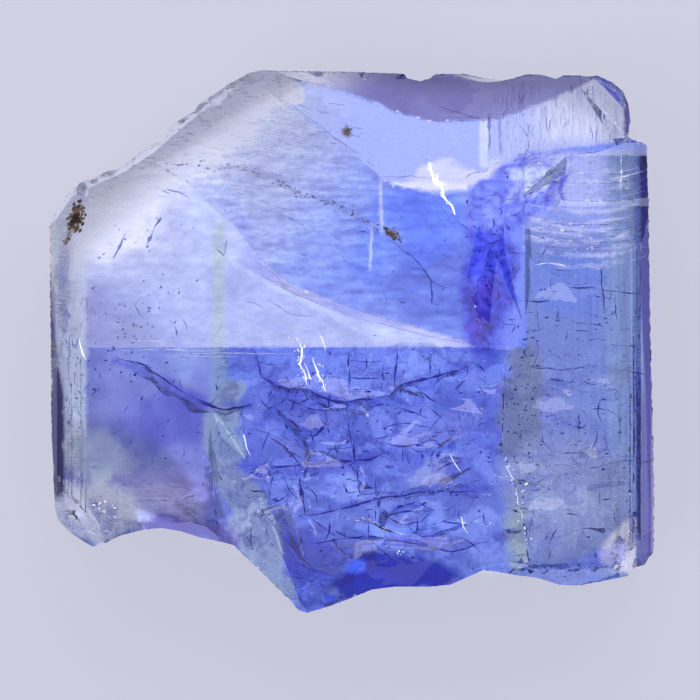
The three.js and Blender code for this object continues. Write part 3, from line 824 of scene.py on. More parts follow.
@dataclass(frozen=True)
class StoneFinish:
    """Clear zoned tanzanite, see-through everywhere.

    The tint lies on the upper surface alone, so light seen through the stone meets it once. It holds
    painted light and shade as well as the stone's own colour.
    """

    index: float = 1.69
    floor_light: Colour = (0.76, 0.77, 0.94)
    kept_light: float = 0.87
    darkest: float = 0.0004
    side_tint: Colour = (0.97, 0.975, 1.0)
    absorbed: Colour = (0.52, 0.60, 0.96)
    density: float = 40.0
    powder: Colour = (226, 228, 244)
    dusting: float = 0.42

    def tint(self, seen: np.ndarray, front: np.ndarray) -> np.ndarray:
        """The base colour that lets a seen colour through.

        Args:
            seen: The linear colour over the floor, for each point.
            front: Where the upper surface is.

        Returns:
            The base colours.
        """
        passed = seen / np.array(self.floor_light) / self.kept_light
        squared = np.clip(passed * passed, self.darkest, 1.0)
        share = front[:, None]
        return squared * share + np.array(self.side_tint) * (1 - share)

    def make(self) -> bpy.types.Material:
        """Builds the material, which reads the painted tint and wear.

        Returns:
            The material.
        """
        graph = Graph("tanzanite_clear")
        chart = Chart(graph)
        tint = graph.node("ShaderNodeAttribute", {"attribute_name": "tint"}).outputs["Color"]
        worn = graph.node("ShaderNodeAttribute", {"attribute_name": "wear"}).outputs["Vector"]
        parts = graph.node("ShaderNodeSeparateXYZ", None, {0: worn})
        frost, grooves, speckle = (Term(graph, out) for out in parts.outputs)
        scales = chart.noise(6.0, 2.0, (0.45, 1.9, 1.0), 24.0) - 0.5
        striae = chart.noise(9.0, 1.0, (1.0, 0.05, 0.4)) - 0.5
        crumbs = chart.noise(11.0, 2.0, (0.9, 1.2, 1.0)) - 0.5
        fine = scales * (frost * 1.6 + 0.35) + striae * grooves * 1.5 + crumbs * (speckle * 1.5 + 0.3)
        lift = (fine + 1.0).most(0.25)
        shaded = graph.node("ShaderNodeVectorMath", {"operation": "SCALE"}, {0: tint, "Scale": lift})
        clear = graph.shader("BsdfPrincipled", {
            "Base Color": shaded.outputs[0],
            "Roughness": frost * (scales * 0.8 + 0.35),
            "IOR": self.index,
            "Transmission Weight": 1.0,
        })
        inside = graph.shader("VolumeAbsorption", {"Color": self.absorbed, "Density": self.density})
        powder = graph.shader("BsdfDiffuse", {"Color": plain(*self.powder)})
        dusting = (frost * frost * (scales * 1.2 + 1.0) * self.dusting).up(0.0, 1.0)
        return graph.finish(graph.shader("MixShader", {0: dusting, 1: clear, 2: powder}), Volume=inside)


@dataclass(frozen=True)
class GrainFinish:
    """What a crowd of small things is made of, and how much it glows as painted light."""

    name: str
    dark: Colour
    light: Colour
    roughness: float
    # Emission that lights the things from within: painted light in place of the light that reaches them
    # inside the stone.
    glow: float = 0.0
    index: float = 1.3

    def make(self) -> bpy.types.Material:
        """Builds the material, mottled between its two colours.

        Returns:
            The material.
        """
        graph = Graph(self.name)
        shade = Chart(graph).noise(3.5, 3.0)
        colour = graph.mix(shade.up(0.35, 0.65), plain(*self.dark), plain(*self.light))
        return graph.finish(graph.shader("BsdfPrincipled", {
            "Base Color": colour,
            "Roughness": shade * 0.2 + self.roughness,
            "IOR": self.index,
            "Emission Color": colour,
            "Emission Strength": self.glow,
        }))


@dataclass(frozen=True)
class FloorFinish:
    """Pale matt floor, lit from below, with a brighter pool of light under the crystal."""

    glow: Colour = (184, 185, 200)
    paint: Colour = (128, 128, 136)
    pool: float = 0.75
    pool_reach: Point = (10.6, 8.9)
    notch: Point = (7.6, 9.4)
    scallop: Point = (6.4, 7.6)
    scallop_end: Point = (-3.2, -1.6)

    def make(self) -> bpy.types.Material:
        """Builds the material.

        Returns:
            The material.
        """
        graph = Graph("pale_floor")
        place = Chart(graph).place
        parts = graph.node("ShaderNodeSeparateXYZ", None, {0: place})
        across, along = Term(graph, parts.outputs[0]), Term(graph, parts.outputs[1])
        right, up = across / self.pool_reach[0], along / self.pool_reach[1]
        notch = (across * -0.7 + along * 0.7).up(*self.notch)
        scallop = (across * -0.45 + along * -0.9).up(*self.scallop) * (1 - across.up(*self.scallop_end))
        inside = (1 - (right ** 6.0 + up ** 6.0).up(0.4, 1.0)) * (1 - notch) * (1 - scallop)
        material = graph.finish(graph.shader("BsdfPrincipled", {
            "Base Color": plain(*self.paint),
            "Roughness": 0.9,
            "Specular IOR Level": 0.0,
            "Emission Color": plain(*self.glow),
            "Emission Strength": inside * self.pool + 1.0,
        }))
        material.cycles.emission_sampling = "NONE"
        return material


def mesh_object(
    name: str, points: Iterable[Sequence[float]], faces: Iterable[Sequence[int]]
) -> bpy.types.Object:
    """A mesh object from points in millimetres."""
    mesh = bpy.data.meshes.new(name)
    mesh.from_pydata([Vector(p) * MM for p in points], [], list(faces))
    made = bpy.data.objects.new(name, mesh)
    bpy.context.scene.collection.objects.link(made)
    return made


class Pile:
    """The points and faces of many small forms, joined in one mesh."""

    def __init__(self) -> None:
        """Starts empty."""
        self.points: list[Vector] = []
        self.faces: list[list[int]] = []

    def add(self, points: Iterable[Vector], faces: Iterable[Sequence[int]]) -> None:
        """Adds one form, with faces counted from its own first point."""
        start = len(self.points)
        self.points += points
        self.faces += [[start + k for k in face] for face in faces]


class Route:
    """A line on the front, measured along its length."""

    def __init__(self, line: Sequence[Point]) -> None:
        """Measures how far along the line its corners are."""
        self.corners = np.array(line)
        self.marks = np.r_[0, np.cumsum(np.hypot(*np.diff(self.corners, axis=0).T))]
        self.length = float(self.marks[-1])

    def at(self, along: float) -> Point:
        """The place at a distance along the line."""
        x, y = (float(np.interp(along, self.marks, self.corners[:, k])) for k in (0, 1))
        return x, y

    def steps(self, count: int) -> list[Point]:
        """Evenly spaced places, the two ends among them."""
        return [self.at(along) for along in np.linspace(0, self.length, count)]


@dataclass
class Crack:
    """A healed crack: a rippled sheet that sweeps from a line near the front into the depth."""

    line: list[Point]
    sweep: tuple[float, float, float]
    start: float = 0.25
    usual_level: float = 8.0
    rows: int = 7
    per_mm: float = 7.0

    def sheet(self, front: Front) -> tuple[list[Vector], list[list[int]]]:
        """The crack's sheet, widest in its middle and drawn in at both ends.

        Args:
            front: The front's height at a place.

        Returns:
            Its points and faces.
        """
        route = Route(self.line)
        count = max(6, int(route.length * self.per_mm))
        sweep = Vector(self.sweep)
        points: list[Vector] = []
        level = self.usual_level
        for i, (x, y) in enumerate(route.steps(count)):
            level = front(x, y) or level
            rim = Vector((x, y, level - self.start))
            swell = math.sin(math.pi * (i + 0.4) / (count - 0.2)) ** 0.6
            swell *= 0.75 + 0.6 * noise.noise(rim * 1.4)
            for j in range(self.rows):
                share = j / (self.rows - 1)
                spot = rim + sweep * share * swell
                ripple = noise.noise_vector(spot * 1.3) * 0.14 + noise.noise_vector(spot * 5) * 0.035
                points.append(spot + ripple * min(1.0, 2 * share + 0.25))
        faces = []
        for i in range(count - 1):
            for j in range(self.rows - 1):
                corner = i * self.rows + j
                faces.append([corner, corner + self.rows, corner + self.rows + 1, corner + 1])
        return points, faces


@dataclass
class Stone:
    """The crystal's own surface, finer than the solid that it stands for."""

    fine: float = 0.169
    coarse: float = 1.0
    crease: float = 16.0
    wave: float = 0.025
    softening: float = 0.3
    rounding: float = 0.5
    lowest: float = 1.5
    upward: float = 0.25
    straight: float = 0.3
    merge: float = 0.012

    def front(self, node: bpy.types.Object) -> Front:
        """Measures the front.

        Args:
            node: The solid.

        Returns:
            A function from a place to the front's height, in millimetres, or to None off the stone.
        """
        tree = BVHTree.FromPolygons(
            [v.co / MM for v in node.data.vertices], [p.vertices for p in node.data.polygons]
        )

        def height(x: float, y: float) -> float | None:
            """The front's height at a place."""
            hit = tree.ray_cast(Vector((x, y, 30.0)), Vector((0, 0, -1)))[0]
            return hit.z if hit else None

        return height

    def build(self, node: bpy.types.Object) -> bpy.types.Object:
        """Builds the crystal.

        Args:
            node: The solid that it stands for.

        Returns:
            The piece.
        """
        bm = bmesh.new()
        bm.from_mesh(node.data)
        bmesh.ops.scale(bm, vec=(1 / MM,) * 3, verts=bm.verts)
        bmesh.ops.remove_doubles(bm, verts=bm.verts, dist=1e-4)
        straight = math.radians(self.straight)
        bmesh.ops.dissolve_limit(bm, angle_limit=straight, verts=bm.verts, edges=bm.edges)
        bmesh.ops.triangulate(bm, faces=bm.faces, ngon_method="BEAUTY")
        sharp = math.radians(self.crease)
        for edge in bm.edges:
            edge.smooth = edge.calc_face_angle(0.0) < sharp
        self._refine(bm)
        self._soften(bm)
        mesh = bpy.data.meshes.new("tanzanite_stone")
        bm.to_mesh(mesh)
        bm.free()
        mesh.shade_smooth()
        self._dress(mesh)
        piece = bpy.data.objects.new("tanzanite_stone", mesh)
        bpy.context.scene.collection.objects.link(piece)
        return piece

    def _refine(self, bm: bmesh.types.BMesh) -> None:
        """Splits long edges until each is short: short ones on the front, longer ones elsewhere.

        Args:
            bm: The mesh, in millimetres.
        """
        for _ in range(9):
            long = []
            for edge in bm.edges:
                length = edge.calc_length()
                if length > self.coarse:
                    long.append(edge)
                elif length > self.fine and any(f.normal.z > self.upward for f in edge.link_faces):
                    long.append(edge)
            if not long:
                break
            bmesh.ops.subdivide_edges(bm, edges=long, cuts=1)
            wide = [f for f in bm.faces if len(f.verts) > 3]
            bmesh.ops.triangulate(bm, faces=wide, quad_method="SHORT_EDGE", ngon_method="BEAUTY")

    def _soften(self, bm: bmesh.types.BMesh) -> None:
        """Rounds small steps and shell-shaped hollows with planes fitted around each point.

        Args:
            bm: The mesh, in millimetres.
        """
        bm.normal_update()
        top = [vert for vert in bm.verts if vert.normal.z > 0.15 and vert.co.z > self.lowest]
        spots = np.array([vert.co for vert in top])
        tree = KDTree(len(top))
        for i, vert in enumerate(top):
            tree.insert((vert.co.x, vert.co.y, 0.0), i)
        tree.balance()
        levels = {}
        for vert in bm.verts:
            x, y, z = vert.co
            reach = self._reach(x, y)
            if not reach or vert.normal.z < -0.1 or z < self.lowest:
                continue
            found = tree.find_range((x, y, 0.0), reach)
            if len(found) < 6:
                continue
            near = spots[[i for _, i, _ in found]]
            weights = (1 - (np.array([gap for _, _, gap in found]) / reach) ** 2) ** 2
            sides = np.column_stack([np.ones(len(near)), near[:, 0] - x, near[:, 1] - y])
            pull = (sides * weights[:, None]).T
            flat = np.diag((0.0, 1e-3, 1e-3))
            fitted = float(np.linalg.solve(pull @ sides + flat, pull @ near[:, 2])[0])
            levels[vert] = min(max(fitted, float(near[:, 2].min())), float(near[:, 2].max()))
        for vert, level in levels.items():
            vert.co.z = level
            for edge in vert.link_edges:
                edge.smooth = True
        bmesh.ops.remove_doubles(bm, verts=list(levels), dist=self.merge)
        bm.normal_update()

    def _reach(self, x: float, y: float) -> float:
        """How far around a place the plane is fitted.

        Args:
            x: Its place in x.
            y: Its place in y.

        Returns:
            The distance, 0 where the front keeps its crisp faces.
        """
        foot = -6.6 if x < -4.0 else -7.9
        if (-10.3 < x < -8.2 and -6.9 < y < -5.4) or (-9.0 < x < -3.6 and -6.6 < y < -4.5):
            return self.rounding
        if -9.5 < x < 10.05 and foot < y < -0.5:
            return self.softening
        if (-10.45 < x < -9.75 and -5.0 < y < 4.0) or (9.2 < x < 10.05 and -7.8 < y < 2.2):
            return self.softening
        return 0.0

    def _dress(self, mesh: bpy.types.Mesh) -> None:
        """Wears the surface inwards a little, and paints its tint and wear on it.

        Args:
            mesh: The mesh, in millimetres on entry and in metres after.
        """
        count = len(mesh.vertices)
        flat, normals = np.empty(count * 3), np.empty(count * 3)
        mesh.vertices.foreach_get("co", flat)
        mesh.vertices.foreach_get("normal", normals)
        spots, normals = flat.reshape(-1, 3), normals.reshape(-1, 3)
        places = Places(spots, normals)
        paint = Paint(places)
        finish = StoneFinish()
        wear = paint.wear()
        upper = paint.front * rise(normals[:, 2], 0.0, 0.12)
        # The tint holds the painted zones, with painted highlights and painted shade among them.
        tint = finish.tint(paint.seen(), upper)
        self._attribute(mesh, "tint", "FLOAT_COLOR", np.c_[tint, np.ones(count)])
        self._attribute(mesh, "wear", "FLOAT_VECTOR", wear)
        slow = places.noise(0.5, 2, 61)
        scales = places.noise(2.6, 3, 62, (0.5, 1.6, 1.0)) * wear[:, 0]
        grooves = places.noise(5.0, 2, 63, (1.0, 0.06, 0.3)) * wear[:, 1]
        chipped = places.noise(2.0, 3, 64) * wear[:, 2]
        worn = self.wave * (slow + scales * 1.2 + grooves * 0.7 + chipped * 0.8)
        worn = worn * rise(spots[:, 2], 0.02, 0.4)
        spots = (spots - normals * worn[:, None]) * MM
        mesh.vertices.foreach_set("co", spots.ravel())
        mesh.update()
        mesh.materials.append(finish.make())

    @staticmethod
    def _attribute(mesh: bpy.types.Mesh, name: str, kind: str, values: np.ndarray) -> None:
        """Stores values on a mesh's points."""
        made = mesh.attributes.new(name, kind, "POINT")
        field = "color" if kind == "FLOAT_COLOR" else "vector"
        made.data.foreach_set(field, np.ascontiguousarray(values, dtype=np.float32).ravel())


@dataclass(frozen=True)
class VeilFinish:
    """A healed crack: clear, a little bluer than the stone, and bending light only slightly."""

    index: float = 1.17
    colour: Colour = (0.62, 0.68, 0.98)
    cloudy: Colour = (0.92, 0.94, 1.0)

    def make(self) -> bpy.types.Material:
        """Builds the material, cloudier in patches.

        Returns:
            The material.
        """
        graph = Graph("healed_crack")
        cloud = Chart(graph).noise(2.4, 3.0).up(0.35, 0.7)
        return graph.finish(graph.shader("BsdfPrincipled", {
            "Base Color": graph.mix(cloud, self.colour, self.cloudy),
            "Roughness": cloud * 0.12,
            "IOR": self.index,
            "Transmission Weight": 1.0,
        }))


@dataclass
class Veils:
    """The healed cracks inside the stone, in one mesh."""

    cracks: list[Crack]
    finish: VeilFinish

    def build(self, front: Front) -> bpy.types.Object:
        """Builds the cracks.

        Args:
            front: The front's height at a place.

        Returns:
            The piece.
        """
        pile = Pile()
        for crack in self.cracks:
            pile.add(*crack.sheet(front))
        piece = mesh_object("healed_cracks", pile.points, pile.faces)
        piece.data.shade_smooth()
        piece.data.materials.append(self.finish.make())
        return piece


def level_inside(front: Front, x: float, y: float, size: float) -> float | None:
    """The lowest height of the front round a small thing, or None where it would stick out.

    Args:
        front: The front's height at a place.
        x: The thing's place across.
        y: Its place along.
        size: Its half-width.

    Returns:
        The height, in millimetres.
    """
    steps = ((0.0, 0.0), (size, 0.0), (-size, 0.0), (0.0, size), (0.0, -size))
    found = [front(x + right, y + up) for right, up in steps]
    return None if None in found else min(found)


def placed(x: float, y: float, z: float, lean: Matrix, sides: Iterable[float]) -> Matrix:
    """The matrix that lays a fleck with given half-widths at a place."""
    return Matrix.Translation((x, y, z)) @ lean @ Matrix.Diagonal((*sides, 1.0))


@dataclass
class Scatter:
    """Small flat flecks strewn under the front."""

    seed: int
    count: int
    middle: Point
    spread: Point
    size: tuple[float, float]
    shape: tuple[float, float, float] = (1.0, 0.5, 0.15)
    turn: tuple[float, float] = (-90.0, 90.0)
    depth: tuple[float, float] = (0.05, 0.9)

    def flecks(self, front: Front) -> Iterable[Matrix]:
        """Places the flecks.

        Args:
            front: The front's height at a place.

        Yields:
            Each fleck's matrix, in millimetres.
        """
        rng = random.Random(self.seed)
        for _ in range(self.count):
            x = rng.gauss(self.middle[0], self.spread[0])
            y = rng.gauss(self.middle[1], self.spread[1])
            size = self.size[0] + (self.size[1] - self.size[0]) * rng.random() ** 2
            depth = rng.uniform(*self.depth) + size * 0.3
            turn = math.radians(rng.uniform(*self.turn))
            tilt = math.radians(rng.uniform(-35, 35))
            level = level_inside(front, x, y, size)
            if level is None:
                continue
            lean = Matrix.Rotation(turn, 4, "Z") @ Matrix.Rotation(tilt, 4, "X")
            yield placed(x, y, level - depth, lean, (size * s for s in self.shape))


@dataclass
class Trail:
    """Flecks strewn along a line on the front."""

    seed: int
    count: int
    line: list[Point]
    size: tuple[float, float]
    wander: float = 0.05
    depth: tuple[float, float] = (0.02, 0.1)
    shape: tuple[float, float, float] = (1.0, 0.6, 0.4)

    def flecks(self, front: Front) -> Iterable[Matrix]:
        """Places the flecks.

        Args:
            front: The front's height at a place.

        Yields:
            Each fleck's matrix, in millimetres.
        """
        rng = random.Random(self.seed)
        route = Route(self.line)
        for _ in range(self.count):
            along = rng.uniform(0, route.length)
            x, y = (place + rng.gauss(0, self.wander) for place in route.at(along))
            size = self.size[0] + (self.size[1] - self.size[0]) * rng.random() ** 2
            ahead, behind = route.at(along + 0.2), route.at(along - 0.2)
            turn = math.atan2(ahead[1] - behind[1], ahead[0] - behind[0]) + rng.gauss(0, 0.25)
            level = level_inside(front, x, y, size)
            if level is None:
                continue
            z = level - rng.uniform(*self.depth) - size * 0.2
            yield placed(x, y, z, Matrix.Rotation(turn, 4, "Z"), (size * s for s in self.shape))


@dataclass
class Sliver:
    """One long bright or dark splinter along a ragged line, pointed at both ends."""

    line: list[Point]
    width: float
    depth: float = 0.08
    drop: float = 0.12
    ragged: float = 0.05
    step: float = 0.12

    def strip(self, front: Front, thin: float) -> tuple[list[Vector], list[list[int]]]:
        """The splinter's closed form.

        Args:
            front: The front's height at a place.
            thin: What its width is multiplied by.

        Returns:
            Its points and faces.
        """
        spots = [spot for spot in self._spots() if front(spot.x, spot.y)]
        points: list[Vector] = []
        count = len(spots)
        if count < 3:
            return [], []
        for i, spot in enumerate(spots):
            run = (spots[min(count - 1, i + 1)] - spots[max(0, i - 1)]).normalized()
            side = Vector((-run.y, run.x, 0))
            swell = math.sin(math.pi * (i + 0.35) / (count - 0.3)) ** 0.7
            uneven = 0.8 + 1.1 * noise.noise(spot * 3.1) + 0.6 * noise.noise(spot * 8.7)
            half = 0.5 * thin * self.width * max(0.08, swell * uneven)
            middle = Vector((spot.x, spot.y, front(spot.x, spot.y) - self.depth))
            down = Vector((0, 0, -self.drop * thin))
            points += [middle - side * half, middle + side * half, middle + down]
        faces = [[0, 1, 2]]
        for i in range(count - 1):
            a, b = 3 * i, 3 * i + 3
            faces += [[a, b, b + 1, a + 1], [a + 1, b + 1, b + 2, a + 2], [a + 2, b + 2, b, a]]
        last = 3 * (count - 1)
        faces.append([last + 2, last + 1, last])
        return points, faces

    def _spots(self) -> list[Vector]:
        """The line in short steps, pushed sideways by noise.

        Returns:
            Places in the plane of the front.
        """
        route = Route(self.line)
        count = max(4, int(route.length / self.step) + 1)
        found = []
        for place in route.steps(count):
            spot = Vector((*place, 0.0))
            push = noise.noise_vector(spot * 1.9) + noise.noise_vector(spot * 6.3) * 0.5
            found.append(spot + Vector((push.x, push.y, 0)) * self.ragged)
        return found


def strewn(
    seed: int, count: int, low: Point, high: Point, length: Point, turn: Point, width: Point
) -> list[Sliver]:
    """Short splinters strewn over a field.

    Args:
        seed: Which strewing it is.
        count: How many splinters there are.
        low: The field's lower left corner.
        high: Its upper right corner.
        length: Their least and greatest length.
        turn: Their middle direction and how far they stray from it, in degrees.
        width: Their least and greatest width.

    Returns:
        The splinters.
    """
    rng = random.Random(seed)
    found = []
    for _ in range(count):
        x, y = rng.uniform(low[0], high[0]), rng.uniform(low[1], high[1])
        reach = length[0] + (length[1] - length[0]) * rng.random() ** 2
        angle = math.radians(rng.gauss(*turn))
        bend = rng.gauss(0, 0.12) * reach
        run, side = (math.cos(angle), math.sin(angle)), (-math.sin(angle), math.cos(angle))
        line = [
            (x + run[0] * reach * t + side[0] * bend * s, y + run[1] * reach * t + side[1] * bend * s)
            for t, s in ((-0.5, 0.0), (-0.15, 0.8), (0.2, 0.7), (0.5, 0.0))
        ]
        found.append(Sliver(line, rng.uniform(*width), depth=rng.uniform(0.05, 0.5)))
    return found


@dataclass
class Inclusions:
    """One crowd of small things in the stone, joined in one mesh."""

    kind: Crowd
    finish: GrainFinish
    strewn: list[Scatter | Trail]
    slivers: list[Sliver]
    thin: float = 1.0
    seed: int = 99

    def build(self, front: Front) -> bpy.types.Object:
        """Builds the crowd.

        Args:
            front: The front's height at a place.

        Returns:
            The piece.
        """
        corners = [Vector(corner) for corner in FLECK_CORNERS]
        pile = Pile()
        rng = random.Random(self.seed)
        for group in self.strewn:
            for matrix in group.flecks(front):
                pile.add([matrix @ (c * rng.uniform(0.7, 1.2)) for c in corners], FLECK_SIDES)
        for sliver in self.slivers:
            pile.add(*sliver.strip(front, self.thin))
        piece = mesh_object(self.kind.value, self._kept_inside(pile.points), pile.faces)
        piece.data.materials.append(self.finish.make())
        return piece

    @staticmethod
    def _kept_inside(points: Sequence[Vector]) -> list[Vector]:
        """Points held within the solid's own box."""
        low, high = (Vector(corner) / MM for corner in CAD_BOX)
        inner = 0.01
        return [
            Vector(min(max(p[k], low[k] + inner), high[k] - inner) for k in range(3)) for p in points
        ]


def cracks() -> list[Crack]:
    """The healed cracks inside the stone: long ones listed, short ones seeded.

    Returns:
        The cracks.
    """
    found = [
        Crack(MAIN_CRACK, (0.1, -0.55, -0.9)),
        Crack(LEFT_CRACK, (-0.1, -0.5, -0.8)),
        Crack(SIDE_CRACK, (0.1, -0.35, -0.7)),
        Crack(STEEP_CRACK, (0.1, -0.3, -0.7)),
        Crack([(-1.78, -4.55), (-0.9, -4.6), (0.02, -4.55)], (0.0, 0.4, -0.6)),
        Crack([(0.6, -3.5), (1.6, -4.1), (2.8, -4.0), (4.0, -3.4)], (0.1, -0.6, -0.7)),
        Crack([(0.4, -5.6), (1.6, -5.5), (3.0, -5.2), (4.4, -4.6)], (0.0, -0.5, -0.7)),
        Crack(LENS_CRACK, (0.0, -0.3, -0.5)),
        Crack([(-0.6, -6.9), (0.8, -7.2), (2.4, -7.2), (4.2, -6.6)], (0.0, -0.45, -0.8)),
    ]
    rng = random.Random(17)
    for _ in range(46):
        x, y = rng.uniform(-3.6, 9.6), rng.uniform(-7.4, -0.9)
        reach = rng.uniform(0.4, 1.5)
        turn = rng.choice((0.0, 0.0, 0.25, -0.2, math.pi / 2)) + rng.gauss(0, 0.2)
        bend = rng.gauss(0, 0.2)
        line = [
            (x + reach * t * math.cos(turn), y + reach * t * math.sin(turn) + bend * t * t)
            for t in (-0.5, -0.2, 0.1, 0.5)
        ]
        sweep = (rng.gauss(0, 0.15), rng.uniform(-0.6, 0.5), -rng.uniform(0.3, 1.0))
        found.append(Crack(line, sweep, start=rng.uniform(0.3, 2.2)))
    return found


def dark_crowd() -> Inclusions:
    """Dark hairlines and flecks, deep blue, with a faint painted glow; the hairlines along the cracks are
    painted shade where the cracks show dark.

    Returns:
        The crowd.
    """
    lines = [Sliver(list(line), width) for width, *line in (
        (0.13, (-3.53, -0.4), *MAIN_CRACK[1:5]),
        (0.15, *MAIN_CRACK[4:9]),
        (0.13, *MAIN_CRACK[8:]),
        (0.12, *SIDE_CRACK[:3]),
        (0.12, *STEEP_CRACK),
        (0.14, (-3.9, -4.7), (-2.6, -4.6), (-1.2, -4.5), (0.6, -4.35), (1.4, -4.0)),
        (0.1, *LEFT_CRACK[:4]),
        (0.15, *LEFT_CRACK[3:]),
        (0.1, (-1.0, -2.5), (-0.9, -3.0), (-1.4, -3.5), (-2.0, -3.4)),
        (0.09, (-2.7, -2.0), (-1.6, -2.5), (-0.6, -2.6)),
        (0.1, (1.1, -3.2), (1.9, -3.05), (2.9, -3.2)),
        (0.12, (0.9, -3.7), (1.7, -3.9), (2.6, -3.75), (3.4, -3.2)),
        (0.09, (-0.2, -2.3), (-0.15, -3.0), (0.0, -3.9)),
        (0.12, *LENS_CRACK),
        (0.1, (1.2, -6.4), (1.8, -6.7), (2.5, -6.6), (2.85, -6.2)),
        (0.1, (1.6, -6.25), (2.1, -6.2), (2.5, -6.35)),
        (0.13, (-1.9, -6.4), (-0.6, -6.2), (1.0, -5.75), (2.8, -5.5), (4.6, -5.5)),
        (0.14, (-1.5, -7.4), (0.4, -7.1), (2.2, -7.4), (3.6, -7.7), (4.9, -7.3)),
        (0.17, (1.62, -0.4), (1.6, -0.9), (1.5, -1.35), (1.5, -1.75)),
        (0.13, (2.8, -0.52), (2.8, -0.85), (2.82, -1.2)),
        (0.24, (-1.9, -4.95), (-1.85, -5.5), (-1.75, -6.0), (-1.7, -6.35)),
        (0.2, (0.15, -4.75), (0.22, -5.2), (0.3, -5.65)),
        (0.12, (0.05, -3.75), (0.05, -4.1), (0.02, -4.5)),
        (0.1, (-0.5, -3.85), (-0.5, -4.1), (-0.52, -4.34)),
        (0.08, (-0.15, -0.45), (-0.12, -1.1), (-0.1, -1.9)),
        (0.07, (-0.1, -0.75), (0.5, -0.8), (1.1, -0.8)),
        (0.08, (-0.1, -1.4), (0.5, -1.45), (1.1, -1.4)),
        (0.07, (0.5, -0.5), (0.52, -1.0), (0.5, -1.45)),
        (0.08, (1.1, -0.9), (1.1, -1.4), (1.05, -1.9)),
        (0.17, (2.85, 2.2), (2.88, 1.7), (2.9, 1.25)),
        (0.08, (1.3, 3.6), (2.2, 3.0), (2.9, 2.1), (3.6, 1.7)),
        (0.07, (-3.1, 1.5), (-2.3, 0.9), (-1.5, 0.8)),
        (0.12, (9.0, 2.58), (9.05, 1.8), (9.13, 0.93)),
        (0.08, (6.2, 1.4), (6.7, 1.36), (7.12, 1.38)),
        (0.08, (7.9, 1.86), (8.4, 1.84), (8.84, 1.86)),
        (0.07, (8.6, 1.8), (9.6, 1.75), (10.5, 1.6)),
        (0.07, (6.3, -1.0), (7.4, -1.1), (8.6, -1.0)),
        (0.12, (-4.95, 3.3), (-4.7, 3.0), (-4.62, 3.3), (-4.55, 3.6)),
        (0.22, (-7.5, 3.3), (-7.25, 3.9), (-6.95, 4.4)),
        (0.13, (-8.7, 2.9), (-8.4, 3.4), (-8.2, 3.9)),
        (0.09, (-6.8, 5.45), (-6.3, 5.35), (-5.9, 5.1)),
        (0.07, (-7.9, 1.3), (-7.8, 1.0), (-7.7, 0.8)),
        (0.09, (-6.6, 0.65), (-6.4, 0.4), (-6.35, 0.1)),
        (0.1, (-6.1, 0.7), (-6.0, 0.5), (-5.98, 0.3)),
    )]
    for row in (
        (71, 60, (-3.6, -7.6), (4.8, -0.7), (0.15, 1.0), (88, 13), (0.03, 0.13)),
        (72, 110, (-3.8, -7.8), (5.0, -0.6), (0.15, 1.3), (4, 34), (0.02, 0.09)),
        (73, 46, (5.6, -7.8), (10.2, 2.6), (0.15, 1.2), (88, 12), (0.02, 0.08)),
        (74, 60, (5.7, -7.8), (10.3, 3.2), (0.15, 0.9), (-3, 24), (0.02, 0.07)),
        (75, 40, (4.3, -0.2), (5.9, 4.6), (0.15, 0.8), (80, 30), (0.02, 0.1)),
        (76, 24, (-9.4, -5.6), (-4.6, 1.2), (0.15, 0.6), (76, 20), (0.03, 0.08)),
        (78, 30, (5.2, 7.2), (9.5, 9.3), (0.4, 1.5), (90, 2), (0.015, 0.045)),
        (77, 18, (-3.6, 0.8), (4.2, 5.2), (0.15, 0.7), (-32, 16), (0.03, 0.07)),
    ):
        lines += strewn(*row)
    return Inclusions(
        Crowd.DARK,
        # Painted shade along the cracks, with a faint painted glow.
        GrainFinish("dark_gap", (60, 62, 176), (98, 106, 216), 0.5, glow=0.36),
        [
            Scatter(3, 160, (0.4, -3.8), (2.6, 2.0), (0.02, 0.1), turn=(-12, 12)),
            Scatter(4, 130, (7.8, -2.0), (1.3, 3.0), (0.02, 0.09), turn=(-8, 8)),
            Scatter(5, 60, (1.6, 3.2), (1.6, 1.4), (0.02, 0.07)),
            Scatter(6, 110, (-8.2, 0.2), (0.8, 0.9), (0.02, 0.1)),
            Scatter(7, 50, (-6.6, -3.0), (1.6, 1.6), (0.02, 0.07)),
            Scatter(8, 40, (-7.3, 3.0), (1.2, 1.1), (0.02, 0.09), turn=(30, 80)),
            Trail(12, 150, CRUMB_SEAM, (0.02, 0.08), 0.09),
            Scatter(9, 90, (5.1, 2.4), (0.5, 1.6), (0.03, 0.12)),
            Scatter(10, 90, (6.1, -2.6), (0.5, 1.6), (0.03, 0.11)),
        ],
        lines,
        thin=0.62,
    )


